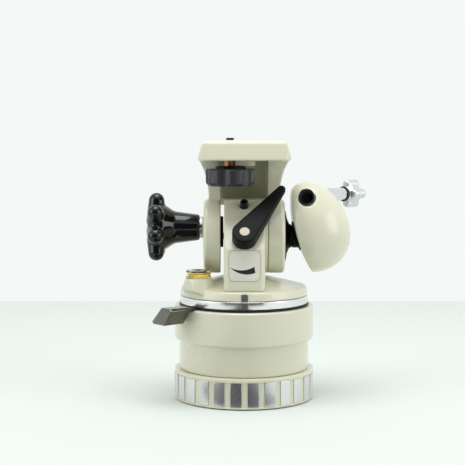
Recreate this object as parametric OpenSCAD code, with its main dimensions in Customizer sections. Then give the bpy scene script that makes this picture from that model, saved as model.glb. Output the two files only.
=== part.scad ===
// Pan and tilt head with drag discs, star brake knob and pan bar holder.
// Origin: centre of the foot on the pan axis. The operator stands at -Y and the pan bar points that way.

/* [Base] */
// Diameter of the grip ring at the foot
ring_d = 100; // [90:1:112]
// Height of the grip ring
ring_h = 21; // [19:0.5:25]
// Height of the foot plate's face below the grip ring
ring_lift = 0.6; // [0.4:0.1:1.2]
// Number of polished lands round the grip ring
land_count = 26; // [20:1:30]
// Width of the flute between two lands
flute_w = 4.2; // [3:0.1:5]
// Depth of a flute
flute_depth = 0.7; // [0.4:0.1:1.2]
// Plain lip of the grip ring above the flutes
ring_lip = 2.8; // [1.2:0.1:4]
// Plain lip of the grip ring below the flutes
foot_lip = 1.3; // [1:0.1:4]
// Diameter of the neck under the drum
neck_d = 93; // [86:0.5:98]
// Height of the neck
neck_h = 21.4; // [18:0.2:28]
// Overhang of the upper drum past the grip ring
drum_over = 0; // [-1:0.1:4]
// Height of the upper drum
drum_h = 23.7; // [20:0.1:30]
// Bevel on the drum's upper edge
drum_bevel = 1.2; // [0.5:0.1:2]
// Thickness of the foot plate
plate_t = 3; // [2.5:0.1:3.6]
// Major diameter of the tripod thread, three eighths of an inch
tripod_thread_d = 9.525; // [6.35:0.005:10]
// Height of the threaded tripod insert
insert_h = 10; // [8:0.5:11]
// Diameter of the threaded tripod insert
insert_d = 18; // [15:0.5:22]
// Diameter of the foot plate's screws
base_screw_d = 4; // [3:0.5:4.5]

/* [Pan bearing] */
// Diameter of the pan spindle
spindle_d = 16; // [14:0.5:18]
// Wall of the pan bushes
pan_bush_wall = 3; // [2:0.5:4]
// Diameter of the pan drag chamber
chamber_d = 60; // [58:1:62]
// Wall round the pan drag chamber
chamber_wall = 6; // [5:0.5:7]
// Thickness of a pan drag rotor
pan_rotor_t = 2; // [1.5:0.1:2.4]
// Thickness of a pan drag stator
pan_stator_t = 1.4; // [1:0.1:1.8]
// Number of pan drag rotors
pan_rotor_count = 3; // [2:1:4]

/* [Scale ring and pan lock] */
// Height of the seam between drum and scale ring
seam_h = 1.8; // [1.6:0.1:2.4]
// Diameter of the scale ring
scale_d = 92; // [86:0.5:98]
// Height of the scale ring
scale_h = 5.4; // [4:0.1:7]
// Width of the index mark and of the zero mark
mark_w = 4.2; // [2:0.1:6]
// Direction of the pan lock lever, counted from +X
lock_angle = 220; // [200:1:240]
// Reach of the pan lock lever past the drum
lock_reach = 20; // [18:0.5:26]
// Length of the pan lock lever's block
lock_len = 17; // [14:0.5:17.5]
// Width of the pan lock lever's block
lock_w = 11.7; // [10.5:0.1:14]
// Height of the pan lock lever's block
lock_h = 12.3; // [8:0.1:14]
// Sideways lean of the pan lock lever's block
lock_lean = 8.5; // [4:0.1:10]

/* [Pan cap] */
// Overhang of the pan cap past the scale ring
cap_over = 0; // [-1:0.1:4]
// Height of the pan cap's rim
rim_h = 6.1; // [5:0.1:6.4]
// Height of the pan cap's cone above the rim
cone_h = 6.8; // [5.5:0.1:8]
// Thickness of the spindle's flange under the cap
flange_t = 4; // [3:0.1:4.5]
// Diameter of the screws through cap and pillar
pillar_screw_d = 4; // [3:0.5:5]
// Diameter of the circular level
level_d = 17.5; // [14:0.1:20]
// Height of the circular level
level_h = 5.6; // [4:0.1:6.2]
// Distance of the circular level's axis from the pan cap's left edge
level_x = 13.9; // [13:0.1:16]

/* [Pillar] */
// Height of the tilt axis above the cap's lower edge
tilt_rise = 41.7; // [41.4:0.1:46]
// Width of the pillar
pillar_w = 28.6; // [26:0.1:29]
// Distance of the pillar's front face from the pan axis
pillar_front = 42; // [40:0.5:43]
// Distance of the pillar's rear face from the pan axis
pillar_rear = 20; // [19:0.5:20.5]
// Height of the pillar's top above the tilt axis
pillar_top = 26.8; // [25:0.1:27]
// Drop of the front crease below the tilt axis
crease_drop = 6.2; // [5:0.1:8]
// Slope of the pillar's upper front, from level
slope_angle = 50; // [48:0.5:52]
// Radius of the pillar's upright edges
pillar_edge_r = 4; // [2:0.5:6]
// Width and height of the label on the pillar's front
label_size = 21; // [16:0.5:21.5]
// Diameter of the stop screw
stop_screw_d = 5.6; // [4:0.1:7]

/* [Tilt bearing] */
// Diameter of the tilt axle
axle_d = 12; // [10:0.5:13]
// Diameter of the axle's left pivot
pivot_d = 5; // [4:0.1:5.4]
// Wall of the axle's bush
axle_bush_wall = 3; // [2:0.5:4]
// Thickness of the drag cover between pillar and right cheek
cover_t = 2.2; // [1.8:0.1:2.6]
// Thickness of a tilt drag disc
tilt_disc_t = 1.4; // [1:0.1:1.6]

/* [Tilt lever] */
// Length of the tilt drag lever, pivot to tip
lever_len = 45.4; // [40:0.2:46]
// Direction of the tilt drag lever at rest, from the line up the slope
lever_angle = 35; // [33:1:45]
// Radius of the tilt drag lever's boss
lever_boss_r = 8.6; // [7:0.1:9.5]
// Radius of the tilt drag lever's tip
lever_tip_r = 2.8; // [2:0.1:3.2]
// Thickness of the tilt drag lever at its boss
lever_t = 10; // [9:0.1:11]
// Thickness of the tilt drag lever at its tip
lever_tip_t = 4.4; // [3:0.1:4.6]
// Distance of the lever's pivot below the foot of the tilt axis on the slope
lever_drop = 23.6; // [22:0.1:24]

/* [Yoke] */
// Radius of the yoke's cheeks
cheek_r = 26.5; // [25:0.5:27.5]
// Thickness of a cheek
cheek_t = 12; // [11.5:0.1:13]
// Distance of the walls' front edge from the tilt axis, towards the operator
wall_front = 5; // [2:0.1:5.2]
// Distance of the web's rear face from the tilt axis
web_rear = 24; // [22:0.5:24.5]
// Thickness of the web
web_t = 7; // [5:0.5:8]
// Height of the platform's underside above the tilt axis
platform_rise = 54.8; // [54:0.1:60]
// Thickness of the camera platform
platform_t = 14; // [12:0.5:16]
// Width of the camera platform
platform_w = 65; // [63:0.5:70]
// Distance of the platform's front edge from the tilt axis
platform_front = 42; // [41:0.5:46]
// Distance of the platform's rear edge from the tilt axis
platform_rear = 26; // [25:0.5:30]

/* [Brake] */
// Height of the brake screw above the tilt axis
brake_rise = 6.2; // [6.1:0.1:7.5]
// Diameter of the brake screw
brake_screw_d = 6; // [5:0.1:6.2]
// Length of the brake knob with its star
brake_len = 37.8; // [36:0.2:46]
// Diameter over the star's lobes
star_d = 50; // [44:0.5:54]
// Number of lobes of the star
star_lobes = 7; // [5:1:8]
// Radius of a lobe's round end
lobe_r = 5.7; // [5:0.1:6.4]

/* [Pan bar holder] */
// Length of the egg-shaped holder
egg_len = 65.6; // [62:0.2:68]
// Largest radius of the holder
egg_r = 26.6; // [25:0.1:27]
// Share by which the holder's lower half is fuller
egg_bulge = 0.13; // [0:0.01:0.2]
// Lean of the holder's axis from upright
egg_lean = 12; // [8:1:14]
// Lean of the holder's flat face from upright, on the tilt axis
flat_lean = 16; // [14:1:18]
// Distance of the flat face from the cheek's outer face, on the tilt axis
flat_x = 8.6; // [8.2:0.1:12]
// Radius of the flat face's slight bulge
flat_r = 98; // [80:1:140]
// Distance of the pan bar socket from the cheek's outer face
socket_x = 15.1; // [14.5:0.1:16]
// Height of the pan bar socket above the tilt axis
socket_rise = 28.8; // [27:0.1:30]
// Diameter of the pan bar socket
socket_d = 8; // [6:0.1:8.6]
// Wall of the pan bar socket's bush
socket_wall = 1.5; // [1:0.1:2]
// Distance of the seam between the holder's shells from the tilt axis, towards the operator
seam_front = 7; // [3:0.5:9]

/* [Clamp screw] */
// Diameter of the clamp screw's shaft
clamp_d = 9.6; // [8:0.1:10]
// Distance of the clamp knob's end from the pan bar's axis
clamp_len = 58; // [54:0.5:64]
// Length of the clamp knob
clamp_knob_len = 14; // [12:0.5:16]
// Diameter over the clamp knob's lobes
clamp_knob_d = 21; // [18:0.5:24]

/* [Camera screw] */
// Diameter of the camera screw, one quarter of an inch
camera_screw_d = 6.35; // [5:0.05:9.5]
// Height of the camera screw's end above the platform
camera_screw_out = 1.6; // [1:0.1:6]
// Length of the camera screw's threaded end
camera_thread = 5.2; // [4.5:0.1:5.5]
// Place of the camera screw, to the left of the middle
camera_x = 10; // [8:0.5:10]
// Travel of the camera screw along its slot
camera_travel = 12; // [6:0.5:12]
// Distance of the camera screw from the tilt axis, towards the operator
camera_y = 22.6; // [22.5:0.1:24]
// Diameter of the camera screw's knob
camera_knob_d = 34; // [28:0.5:34]
// Height of the camera screw's knob
camera_knob_h = 12; // [10:0.5:13]

/* [Hidden] */
$fn = 64;
// direction of the first screw of a ring about the pan axis
pan_screw_start = 45;
// clearance between faces that move past each other
run_gap = 0.3;
// radial clearance of a shaft in its hole
fit_gap = 0.05;
// overlap that carries a cut past a face
cut = 1;

ring_r = ring_d / 2;
neck_r = neck_d / 2;
scale_r = scale_d / 2;
drum_r = ring_r + drum_over;
cap_r = scale_r + cap_over;
spindle_r = spindle_d / 2;
chamber_r = chamber_d / 2;
tube_r = chamber_r + chamber_wall;
// part of the housing that the grip ring turns on, and its wall
grip_wall = 8;
core_r = ring_r - grip_wall;
core_wall = 12;
cavity_r = core_r - core_wall;
plate_lip = 3;
plate_r = core_r + plate_lip;
base_screw_ring_r = (core_r + cavity_r) / 2;
base_screw_len = 13;
base_screw_count = 4;
insert_rim = 4;
insert_rim_t = 2.5;
pan_bush_r = spindle_r + pan_bush_wall;
pan_bush_h = 8;
// floors of the hub and of the drag chamber, and the hollow under the cap
hub_rise = 2.1;
chamber_rise = 2.7;
ceiling_rise = 5.5;
ceiling_rim = 2;

z_ring = ring_lift;
z_neck = z_ring + ring_h + run_gap;
z_drum = z_neck + neck_h;
z_seam = z_drum + drum_h;
z_scale = z_seam + seam_h;
z_cap = z_scale + scale_h + run_gap;
z_rim = z_cap + rim_h;
z_cone = z_rim + cone_h;
z_tilt = z_cap + tilt_rise;
z_hub = z_neck + hub_rise;
z_chamber = z_drum + chamber_rise;
z_ceiling = z_cap + ceiling_rise;
z_platform = z_tilt + platform_rise;
z_top = z_platform + platform_t;

// scale ring's seat on the chamber's wall
scale_seat = 2;
scale_bore_r = tube_r - scale_seat;
// play of the drag discs at their free edges
disc_play = 1.5;
disc_pitch = pan_rotor_t + pan_stator_t + 2 * run_gap;
// widths of the spindle's flange, nut and washer past the spindle, and its screws
flange_w = 9.5;
flange_r = spindle_r + flange_w;
pillar_screw_w = 5;
pillar_screw_ring_r = spindle_r + pillar_screw_w;
pillar_screw_len = 22;
pillar_screw_count = 4;
screw_head_h = 3.5;
screw_head_r = 0.85 * pillar_screw_d;
nut_h = 8;
nut_w = 6;
nut_r = spindle_r + nut_w;
washer_t = 2;
washer_w = 8;
washer_r = spindle_r + washer_w;
z_washer = z_hub - fit_gap - washer_t;
z_nut = z_washer - nut_h;
spindle_tail = 1;
z_spindle = z_nut - spindle_tail;
// brake ring in the seam, a little wider than the scale ring, and the lever's block on its tab
brake_ring_t = seam_h - 2 * run_gap;
brake_ring_step = 0.5;
brake_ring_r = scale_r + brake_ring_step;
lock_tab_margin = 1.35;
lock_tab_w = lock_w - 2 * lock_tab_margin;
lock_tab_len = 6;
lock_tab_root = 4;
lock_tab_r = tube_r + lock_tab_root;
lock_bevel = 1.6;
lock_spread = 2.5;
lock_top = 1.3;
lock_end = drum_r + lock_reach;

// cap: draft and edge of the rim, and the level ledge round the pillar
rim_draft = 0.8;
rim_edge = 1;
cone_ledge = 2.7;
// circular level: it stands just in front of the left cheek's sweep, on a pad of the cap
level_rise = 8;
z_level = z_rim + level_rise;
level_r = level_d / 2;
level_at = cap_r - level_x;
level_chord = sqrt(max(0, pow(cheek_r, 2) - pow(z_tilt - z_level - level_h, 2)));
level_y = -level_chord - level_r - run_gap;
level_pad_w = 0.6;
level_pad_flare = 4.6;
level_pad_r = level_r + level_pad_w;
level_pad_over = max(0, norm([level_at, level_y]) + level_pad_r - cap_r);
// walls of the vial and the dark ring let into its top
vial_wall = 1.4;
vial_floor = 0.8;
target_t = 0.6;
target_w = 2.7;
target_margin = 3.9;
target_r = level_r - target_margin;

// pillar
pillar_x = pillar_w / 2;
z_crease = z_tilt - crease_drop;
slope_d = pillar_front * sin(slope_angle) - crease_drop * cos(slope_angle);
pillar_top_front = pillar_front - (pillar_top + crease_drop) / tan(slope_angle);
pillar_rear_step = 11;
pillar_top_rear = pillar_rear - pillar_rear_step;
pillar_rear_drop = 7.2;
label_t = 0.3;
label_edge_r = 3.5;
label_drop = 0.7;
z_label = z_crease - label_drop;
mark_t = 0.9;
mark_margin = 0.4;
stop_rise = 6;
stop_out = 4.5;
stop_depth = 8;

// tilt bearing: faces from the pillar outwards
axle_r = axle_d / 2;
pivot_r = pivot_d / 2;
axle_shoulder = 2.3;
cheek_in = pillar_x + cover_t + run_gap;
cheek_out = cheek_in + cheek_t;
friction_t = cheek_in - pillar_x - 2 * run_gap;
friction_r = 8;
pivot_depth = 4.5;
axle_bush_r = axle_r + axle_bush_wall;
drag_floor = 4;
drag_wall = 5;
drag_r = cheek_r - drag_wall;
drag_step = tilt_disc_t + run_gap;
cover_screw_d = 3;
cover_screw_count = 3;
cover_screw_w = 5;
cover_screw_ring_r = axle_r + cover_screw_w;
cover_screw_len = 10;
cover_head_r = 2.7;
cover_head = 1.2;

// tilt drag lever
lever_lift = 0.4;
lever_pin_r = 3;
lever_pin_depth = 13;
lever_cap_r = 3.4;
lever_cap_t = 1;

// yoke
wall_step = 3.4;
wall_out = cheek_out - wall_step;
flare_margin = 0.3;
flare_w = platform_w / 2 - wall_out - flare_margin;
flare_h = 26.6;
flare_steps = 8;
flare_turn = 2 * atan(flare_w / flare_h);
flare_r = flare_h / sin(flare_turn);
// hollow corner between a wall's front edge and the platform, which meets both at an angle
cove_r = 11;
cove_over = 0.3;
web_gap = 1.1;
web_clear_r = norm([pillar_top, pillar_top_front]) + web_gap;
cheek_edge = 1.5;
platform_draft = 3.2;
platform_bevel = 2.2;
platform_edge_r = 8;

// brake knob
brake_screw_r = brake_screw_d / 2;
brake_screw_in = 15;
collar_t = 2.8;
collar_r = 7.9;
stem_r1 = 9.2;
stem_r2 = 11.6;
star_t = 15;
// flare of the stem into the star, its hub, and the step from the lobes down to the hub's end
star_flare = 5;
star_shoulder = 3;
star_hub_r = 15;
star_step = 0.8;
star_ring_r = star_d / 2 - lobe_r;
// direction of the first lobe, start of a lobe's arm and its thickness there and at its end
star_start = 2;
arm_in = 9;
arm_root_r = 6;
arm_neck = 0.3;

// rosette and pan bar holder
rosette_r = 18;
rosette_rim = 1;
rosette_floor = 1;
rosette_cone = 2.2;
rosette_hub_r = 8.4;
rosette_hub = 2;
rosette_out = cheek_out + rosette_rim + rosette_cone + rosette_hub;
rosette_screw_d = 3;
rosette_screw_count = 3;
rosette_screw_start = 60;
rosette_screw_ring_r = 13;
rosette_screw_len = 7;
holder_bolt_r = 4;
holder_bolt_head_r = 7;
holder_bolt_head = 5;
egg_steps = 36;
// the holder's top lies as far from the socket as its flat face, and the round corner between them
// is a little wider, so that it crosses both at an angle
flat_centre = [flat_x + flat_r * cos(flat_lean) - socket_x, flat_r * sin(flat_lean) - socket_rise];
top_reach = flat_r - norm(flat_centre);
corner_lean = atan2(flat_centre[1], flat_centre[0]);
corner_over = 0.3;
corner_r = top_reach + corner_over;
flange_plate_r = 11;
flange_plate_t = 1;
holder_flat = cheek_out + flat_x;
holder_bolt_depth = 12;
holder_bolt_end = holder_flat + holder_bolt_depth;
socket_at = cheek_out + socket_x;
z_socket = z_tilt + socket_rise;
socket_r = socket_d / 2;
socket_bush_r = socket_r + socket_wall;
socket_mouth = 15.5;
socket_depth = 9;
socket_recess = 1.1;
socket_recess_r = socket_bush_r + socket_recess;
holder_screw_r = 1.6;
holder_screw_len = 22;
holder_screw_head_r = 3;
holder_screw_head = 3;
// places of the shells' screws, from the flat face and from the tilt axis
holder_screw_places = [[14, -14], [24, 8]];

// clamp screw
clamp_angle = 45;
clamp_y = 2;
clamp_r = clamp_d / 2;
// the slanting tip stops clear of the bar, and the thick part clear of the bush
clamp_tip_r = 2;
clamp_tip = (socket_r + run_gap) / sin(clamp_angle) + clamp_tip_r;
clamp_land = 0.5;
clamp_step = socket_bush_r / sin(clamp_angle) + clamp_r + clamp_land;
clamp_ring_t = 2;
clamp_ring_w = 0.8;
clamp_ring_r = clamp_r + clamp_ring_w;
clamp_lobes = 4;
clamp_lobe_r = 3.6;

// camera screw
camera_screw_r = camera_screw_d / 2;
// plain shank under the thread, which keeps the screw captive in its bush
shank_step = 0.6;
shank_r = camera_screw_r - shank_step;
camera_knob_r = camera_knob_d / 2;
collar_h = 1.8;
screw_collar_r = 10.4;
bush_wall = 1.1;
slide_bush_r = camera_screw_r + fit_gap + bush_wall;
slide_flange_w = 2.4;
slide_flange_r = slide_bush_r + slide_flange_w;
slide_flange_t = 1.7;
slide_ledge = 8;
slot_r = slide_bush_r + run_gap;
slot_ledge_r = slide_flange_r + run_gap;
slide_block_len = 13.7;
slide_block_seat = 0.8;
slide_block_w = 12;
slide_block_h = 3.6;
z_slide = z_platform - run_gap - slide_block_h;
z_camera_knob = z_slide - run_gap - collar_h - camera_knob_h;
knob_flutes = 6;
knob_flute_start = 15;
knob_flute_r = 7;
knob_flute_depth = 2.2;
knob_lower_edge = 2.2;
knob_upper_edge = 0.8;
stud_floor = 2;

paint = [0.85, 0.85, 0.77];
black = [0.1, 0.1, 0.11];
steel = [0.72, 0.73, 0.75];
bronze = [0.72, 0.52, 0.3];

// Ring about the pan axis
module ring(outer, inner, z0, z1) {
    translate([0, 0, z0])
        difference() {
            cylinder(r = outer, h = z1 - z0);
            translate([0, 0, -cut]) cylinder(r = inner, h = z1 - z0 + 2 * cut);
        }
}

// Cylinder about an axis along X, from x0 to x1, at a height above the tilt axis
module rod_x(radius, x0, x1, rise = 0) {
    translate([x0, 0, z_tilt + rise])
        rotate([0, 90, 0]) cylinder(r = radius, h = x1 - x0);
}

module ring_x(outer, inner, x0, x1) {
    difference() {
        rod_x(outer, x0, x1);
        rod_x(inner, x0 - cut, x1 + cut);
    }
}

// Puts children round the tilt axis, on a circle
module round_tilt(radius, count, start = 0) {
    for (i = [0 : count - 1])
        translate([0, 0, z_tilt])
            rotate([start + i * 360 / count, 0, 0]) translate([0, 0, radius]) children();
}

// Puts children round the pan axis, on a circle
module round_pan(radius, count, start = pan_screw_start) {
    for (i = [0 : count - 1])
        rotate([0, 0, start + i * 360 / count]) translate([radius, 0, 0]) children();
}

// Frame on the tilt axis whose Z is square to the pillar's slope and whose Y runs up it
module on_slope() {
    translate([0, 0, z_tilt]) rotate([slope_angle, 0, 0]) children();
}

module rounded_rect(x0, x1, y0, y1, r) {
    translate([x0 + r, y0]) square([x1 - x0 - 2 * r, y1 - y0]);
    translate([x0, y0 + r]) square([x1 - x0, y1 - y0 - 2 * r]);
    for (x = [x0 + r, x1 - r], y = [y0 + r, y1 - r]) translate([x, y]) circle(r = r);
}

// Extrudes an outline drawn in Y and Z along X
module along_x(x0, x1) {
    translate([x0, 0, 0]) rotate([90, 0, 90]) linear_extrude(x1 - x0) children();
}

// Extrudes an outline drawn in X and Z along Y
module along_y(y0, y1) {
    translate([0, y1, 0]) rotate([90, 0, 0]) linear_extrude(y1 - y0) children();
}

module base_housing() {
    color(paint)
        difference() {
            rotate_extrude()
                polygon([
                    [cavity_r, plate_t], [core_r, plate_t], [core_r, z_neck], [neck_r, z_neck],
                    [neck_r, z_drum], [drum_r, z_drum], [drum_r, z_seam - drum_bevel],
                    [drum_r - drum_bevel, z_seam], [tube_r, z_seam], [tube_r, z_scale],
                    [scale_bore_r, z_scale], [scale_bore_r, z_cap - 2 * run_gap],
                    [chamber_r, z_cap - 2 * run_gap], [chamber_r, z_chamber], [pan_bush_r, z_chamber],
                    [pan_bush_r, z_hub], [cavity_r, z_hub]
                ]);
            round_pan(base_screw_ring_r, base_screw_count)
                translate([0, 0, plate_t - cut])
                    cylinder(d = base_screw_d, h = base_screw_len - plate_t + cut);
        }
}

module base_plate() {
    color("dimgray")
        difference() {
            cylinder(r = plate_r, h = plate_t);
            translate([0, 0, -cut]) cylinder(d = insert_d, h = plate_t + 2 * cut);
            round_pan(base_screw_ring_r, base_screw_count) base_screw_form(cut);
        }
}

// Countersunk screw of the foot plate, with its head's face at the foot
module base_screw_form(below = 0) {
    head = base_screw_d / 2;
    if (below > 0) translate([0, 0, -below]) cylinder(r = base_screw_d, h = below);
    cylinder(r1 = base_screw_d, r2 = base_screw_d / 2, h = head);
    cylinder(d = base_screw_d, h = base_screw_len);
}

module base_screws() {
    color(steel) round_pan(base_screw_ring_r, base_screw_count) base_screw_form();
}

module tripod_insert() {
    color(steel)
        difference() {
            union() {
                cylinder(d = insert_d, h = insert_h);
                translate([0, 0, plate_t]) cylinder(d = insert_d + 2 * insert_rim, h = insert_rim_t);
            }
            translate([0, 0, -cut]) cylinder(d = tripod_thread_d, h = insert_h + 2 * cut);
        }
}

module pan_bushes() {
    color(bronze)
        for (z = [z_hub, z_chamber - pan_bush_h])
            ring(pan_bush_r, spindle_r + fit_gap, z, z + pan_bush_h);
}

// Underside of a pan drag rotor
function rotor_z(i) = z_chamber + disc_play + i * disc_pitch;

module pan_drag_rotors() {
    color(steel)
        for (i = [0 : pan_rotor_count - 1])
            ring(chamber_r - disc_play, spindle_r, rotor_z(i), rotor_z(i) + pan_rotor_t);
}

module pan_drag_stators() {
    color(bronze)
        for (i = [0 : pan_rotor_count - 2])
            let (z = rotor_z(i) + pan_rotor_t + run_gap)
                ring(chamber_r, spindle_r + disc_play, z, z + pan_stator_t);
}

module scale_ring() {
    color("silver")
        difference() {
            ring(scale_r, scale_bore_r, z_scale, z_scale + scale_h);
            zero_mark_form(cut);
        }
}

module zero_mark_form(past) {
    translate([-mark_w / 2, -scale_r - past, z_scale + mark_margin])
        cube([mark_w, mark_t + past, scale_h - 2 * mark_margin]);
}

module zero_mark() {
    color("gray")
        intersection() {
            zero_mark_form(cut);
            cylinder(r = scale_r, h = z_top, $fn = 360);
        }
}

module grip_ring() {
    z1 = z_ring + ring_h;
    color("gainsboro")
        difference() {
            ring(ring_r, core_r + run_gap, z_ring, z1);
            translate([0, 0, z_ring - cut])
                cylinder(r = plate_r + run_gap, h = plate_t + run_gap - z_ring + cut);
            for (i = [0 : land_count - 1])
                rotate([0, 0, i * 360 / land_count - 90])
                    translate([ring_r - flute_depth, -flute_w / 2, z_ring + foot_lip])
                        cube([flute_depth + cut, flute_w, ring_h - foot_lip - ring_lip]);
        }
}

// Tab of the brake ring that the lever's block is pushed on
module lock_tab() {
    rotate([0, 0, lock_angle])
        translate([lock_tab_r, -lock_tab_w / 2, z_seam + run_gap])
            cube([lock_end - lock_len + lock_tab_len - lock_tab_r, lock_tab_w, brake_ring_t]);
}

module pan_brake_ring() {
    color(black) {
        ring(brake_ring_r, tube_r + run_gap, z_seam + run_gap, z_seam + run_gap + brake_ring_t);
        lock_tab();
    }
}

module pan_lock_lever() {
    z1 = z_seam + run_gap + brake_ring_t + lock_top;
    z0 = z1 - lock_h;
    half = lock_w / 2;
    left = half + lock_lean + lock_spread;
    color([0.2, 0.2, 0.19])
        difference() {
            rotate([0, 0, lock_angle])
                translate([lock_end - lock_len, 0, 0])
                    along_x(0, lock_len)
                        polygon([
                            [-half, z1], [half - lock_bevel, z1], [half, z1 - lock_bevel],
                            [half - lock_lean, z0], [lock_bevel - left, z0], [-left, z0 + lock_bevel]
                        ]);
            lock_tab();
        }
}

module pan_spindle() {
    color(steel)
        difference() {
            union() {
                translate([0, 0, z_spindle]) cylinder(r = spindle_r, h = z_ceiling - z_spindle);
                translate([0, 0, z_ceiling - flange_t]) cylinder(r = flange_r, h = flange_t);
            }
            pillar_screw_forms();
        }
}

module thrust_washer() {
    color(bronze) ring(washer_r, spindle_r, z_washer, z_washer + washer_t);
}

module spindle_nut() {
    color(steel)
        difference() {
            translate([0, 0, z_nut]) cylinder(r = nut_r, h = nut_h, $fn = 6);
            translate([0, 0, z_nut - cut]) cylinder(r = spindle_r, h = nut_h + 2 * cut);
        }
}

// Screws that go up through the spindle's flange and the cap into the pillar
module pillar_screw_forms() {
    round_pan(pillar_screw_ring_r, pillar_screw_count)
        translate([0, 0, z_ceiling - flange_t]) {
            translate([0, 0, -screw_head_h]) cylinder(r = screw_head_r, h = screw_head_h);
            cylinder(d = pillar_screw_d, h = pillar_screw_len);
        }
}

module pillar_screws() {
    color(steel) pillar_screw_forms();
}

// Outer form of the pan cap
module cap_form() {
    cone_r = pillar_x + cone_ledge;
    rotate_extrude()
        polygon([
            [0, z_cap], [cap_r, z_cap], [cap_r - rim_draft, z_rim - rim_edge],
            [cap_r - rim_draft - rim_edge, z_rim], [cone_r, z_cone], [0, z_cone]
        ]);
    level_pad();
}

// Raised pad under the level, which runs down into the rim
module level_pad() {
    intersection() {
        translate([-level_at, level_y, z_cap])
            cylinder(r1 = level_pad_r + level_pad_flare, r2 = level_pad_r, h = z_level - z_cap);
        rotate_extrude()
            polygon([
                [0, z_cap], [cap_r - rim_draft - rim_edge, z_cap],
                [cap_r - rim_draft - rim_edge, z_rim - level_pad_over - rim_edge],
                [cap_r + level_pad_over, z_rim], [cap_r + level_pad_over, z_level], [0, z_level]
            ]);
    }
}

module index_form(past) {
    translate([-mark_w / 2, -cap_r - past, z_cap + mark_margin])
        cube([mark_w, mark_t + past + rim_draft, rim_h - mark_margin - rim_edge]);
}

module pan_cap() {
    color(paint)
        difference() {
            cap_form();
            translate([0, 0, z_cap - cut])
                cylinder(r = chamber_r - ceiling_rim, h = z_ceiling - z_cap + cut);
            pillar_screw_forms();
            vial_form();
            index_form(cut);
        }
}

module pan_index() {
    color("gray")
        intersection() {
            index_form(cut);
            cap_form($fn = 360);
        }
}

// Outer form of the level's vial, also its seat in the cap
module vial_form() {
    translate([-level_at, level_y, z_level]) cylinder(r = level_r, h = level_h);
}

// Cavity of the level's vial
module vial_cavity() {
    translate([-level_at, level_y, z_level + vial_floor])
        cylinder(r = level_r - vial_wall, h = level_h - vial_floor - vial_wall);
}

module level_vial() {
    color([0.93, 0.93, 0.85, 0.6])
        difference() {
            vial_form();
            vial_cavity();
            level_target_form(cut);
        }
}

module level_liquid() {
    color([0.85, 0.78, 0.4]) vial_cavity();
}

module level_target_form(past = 0) {
    z1 = z_level + level_h;
    translate([-level_at, level_y, 0]) ring(target_r, target_r - target_w, z1 - target_t, z1 + past);
}

module level_target() {
    color(black) level_target_form();
}

module stop_screw_form() {
    on_slope()
        translate([0, stop_rise, slope_d - stop_depth])
            cylinder(d = stop_screw_d, h = stop_depth + stop_out);
}

module lever_pin_form(clearance = 0) {
    on_slope()
        translate([0, -lever_drop, slope_d - lever_pin_depth - clearance])
            cylinder(r = lever_pin_r + clearance, h = lever_pin_depth + lever_lift + lever_t - lever_cap_t
                + clearance);
}

module axle_form() {
    rod_x(axle_r, axle_shoulder - pillar_x, cheek_out - run_gap);
    rod_x(pivot_r, -cheek_in - pivot_depth, axle_shoulder - pillar_x);
}

module pillar() {
    color(paint)
        difference() {
            intersection() {
                along_x(-pillar_x, pillar_x)
                    polygon([
                        [-pillar_front, z_cap], [-pillar_front, z_crease],
                        [-pillar_top_front, z_tilt + pillar_top], [pillar_top_rear, z_tilt + pillar_top],
                        [pillar_rear, z_tilt + pillar_top - pillar_rear_drop], [pillar_rear, z_cap]
                    ]);
                linear_extrude(z_top)
                    rounded_rect(-pillar_x, pillar_x, -pillar_front, pillar_rear, pillar_edge_r);
            }
            cap_form();
            pillar_screw_forms();
            axle_form();
            stop_screw_form();
            lever_pin_form(fit_gap);
            drag_cover_screw_forms();
        }
}

module drag_label() {
    half = label_size / 2;
    color("silver")
        along_y(-pillar_front - label_t, -pillar_front)
            rounded_rect(-half, half, z_label - label_size, z_label, label_edge_r);
}

module stop_screw() {
    color(black) stop_screw_form();
}

module tilt_axle() {
    color(steel) axle_form();
}

module tilt_drag_cover() {
    color(paint)
        difference() {
            ring_x(cheek_r, axle_r, pillar_x, pillar_x + cover_t);
            drag_cover_screw_forms();
        }
}

// Countersunk screws that hold the drag cover on the pillar
module drag_cover_screw_forms() {
    round_tilt(cover_screw_ring_r, cover_screw_count, 180)
        translate([pillar_x + cover_t, 0, 0])
            rotate([0, -90, 0]) {
                cylinder(r1 = cover_head_r, r2 = cover_screw_d / 2, h = cover_head);
                cylinder(d = cover_screw_d, h = cover_screw_len);
            }
}

module drag_cover_screws() {
    color(steel) drag_cover_screw_forms();
}

// Inner end of a tilt drag disc, counted from the cover
function drag_disc_x(i) = cheek_in + run_gap + i * drag_step;

module tilt_drag_stators() {
    color(steel)
        for (i = [0, 2])
            ring_x(drag_r - disc_play, axle_r, drag_disc_x(i), drag_disc_x(i) + tilt_disc_t);
}

module tilt_drag_rotor() {
    color(bronze)
        ring_x(drag_r, axle_r + disc_play, drag_disc_x(1), drag_disc_x(1) + tilt_disc_t);
}

module tilt_lever() {
    tip = [lever_len * sin(lever_angle), lever_len * cos(lever_angle)];
    color(black)
        difference() {
            on_slope()
                translate([0, -lever_drop, slope_d + lever_lift]) {
                    hull() {
                        cylinder(r = lever_boss_r, h = lever_t, $fn = 48);
                        translate([tip[0], tip[1], lever_t - lever_tip_t])
                            cylinder(r = lever_tip_r, h = lever_tip_t, $fn = 32);
                    }
                }
            lever_pin_form();
            lever_cap_form(cut);
        }
}

module lever_cap_form(past = 0) {
    on_slope()
        translate([0, -lever_drop, slope_d + lever_lift + lever_t - lever_cap_t])
            cylinder(r = lever_cap_r, h = lever_cap_t + past);
}

module lever_cap() {
    color("ivory") lever_cap_form();
}

module lever_spindle() {
    color(steel) lever_pin_form();
}

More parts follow.
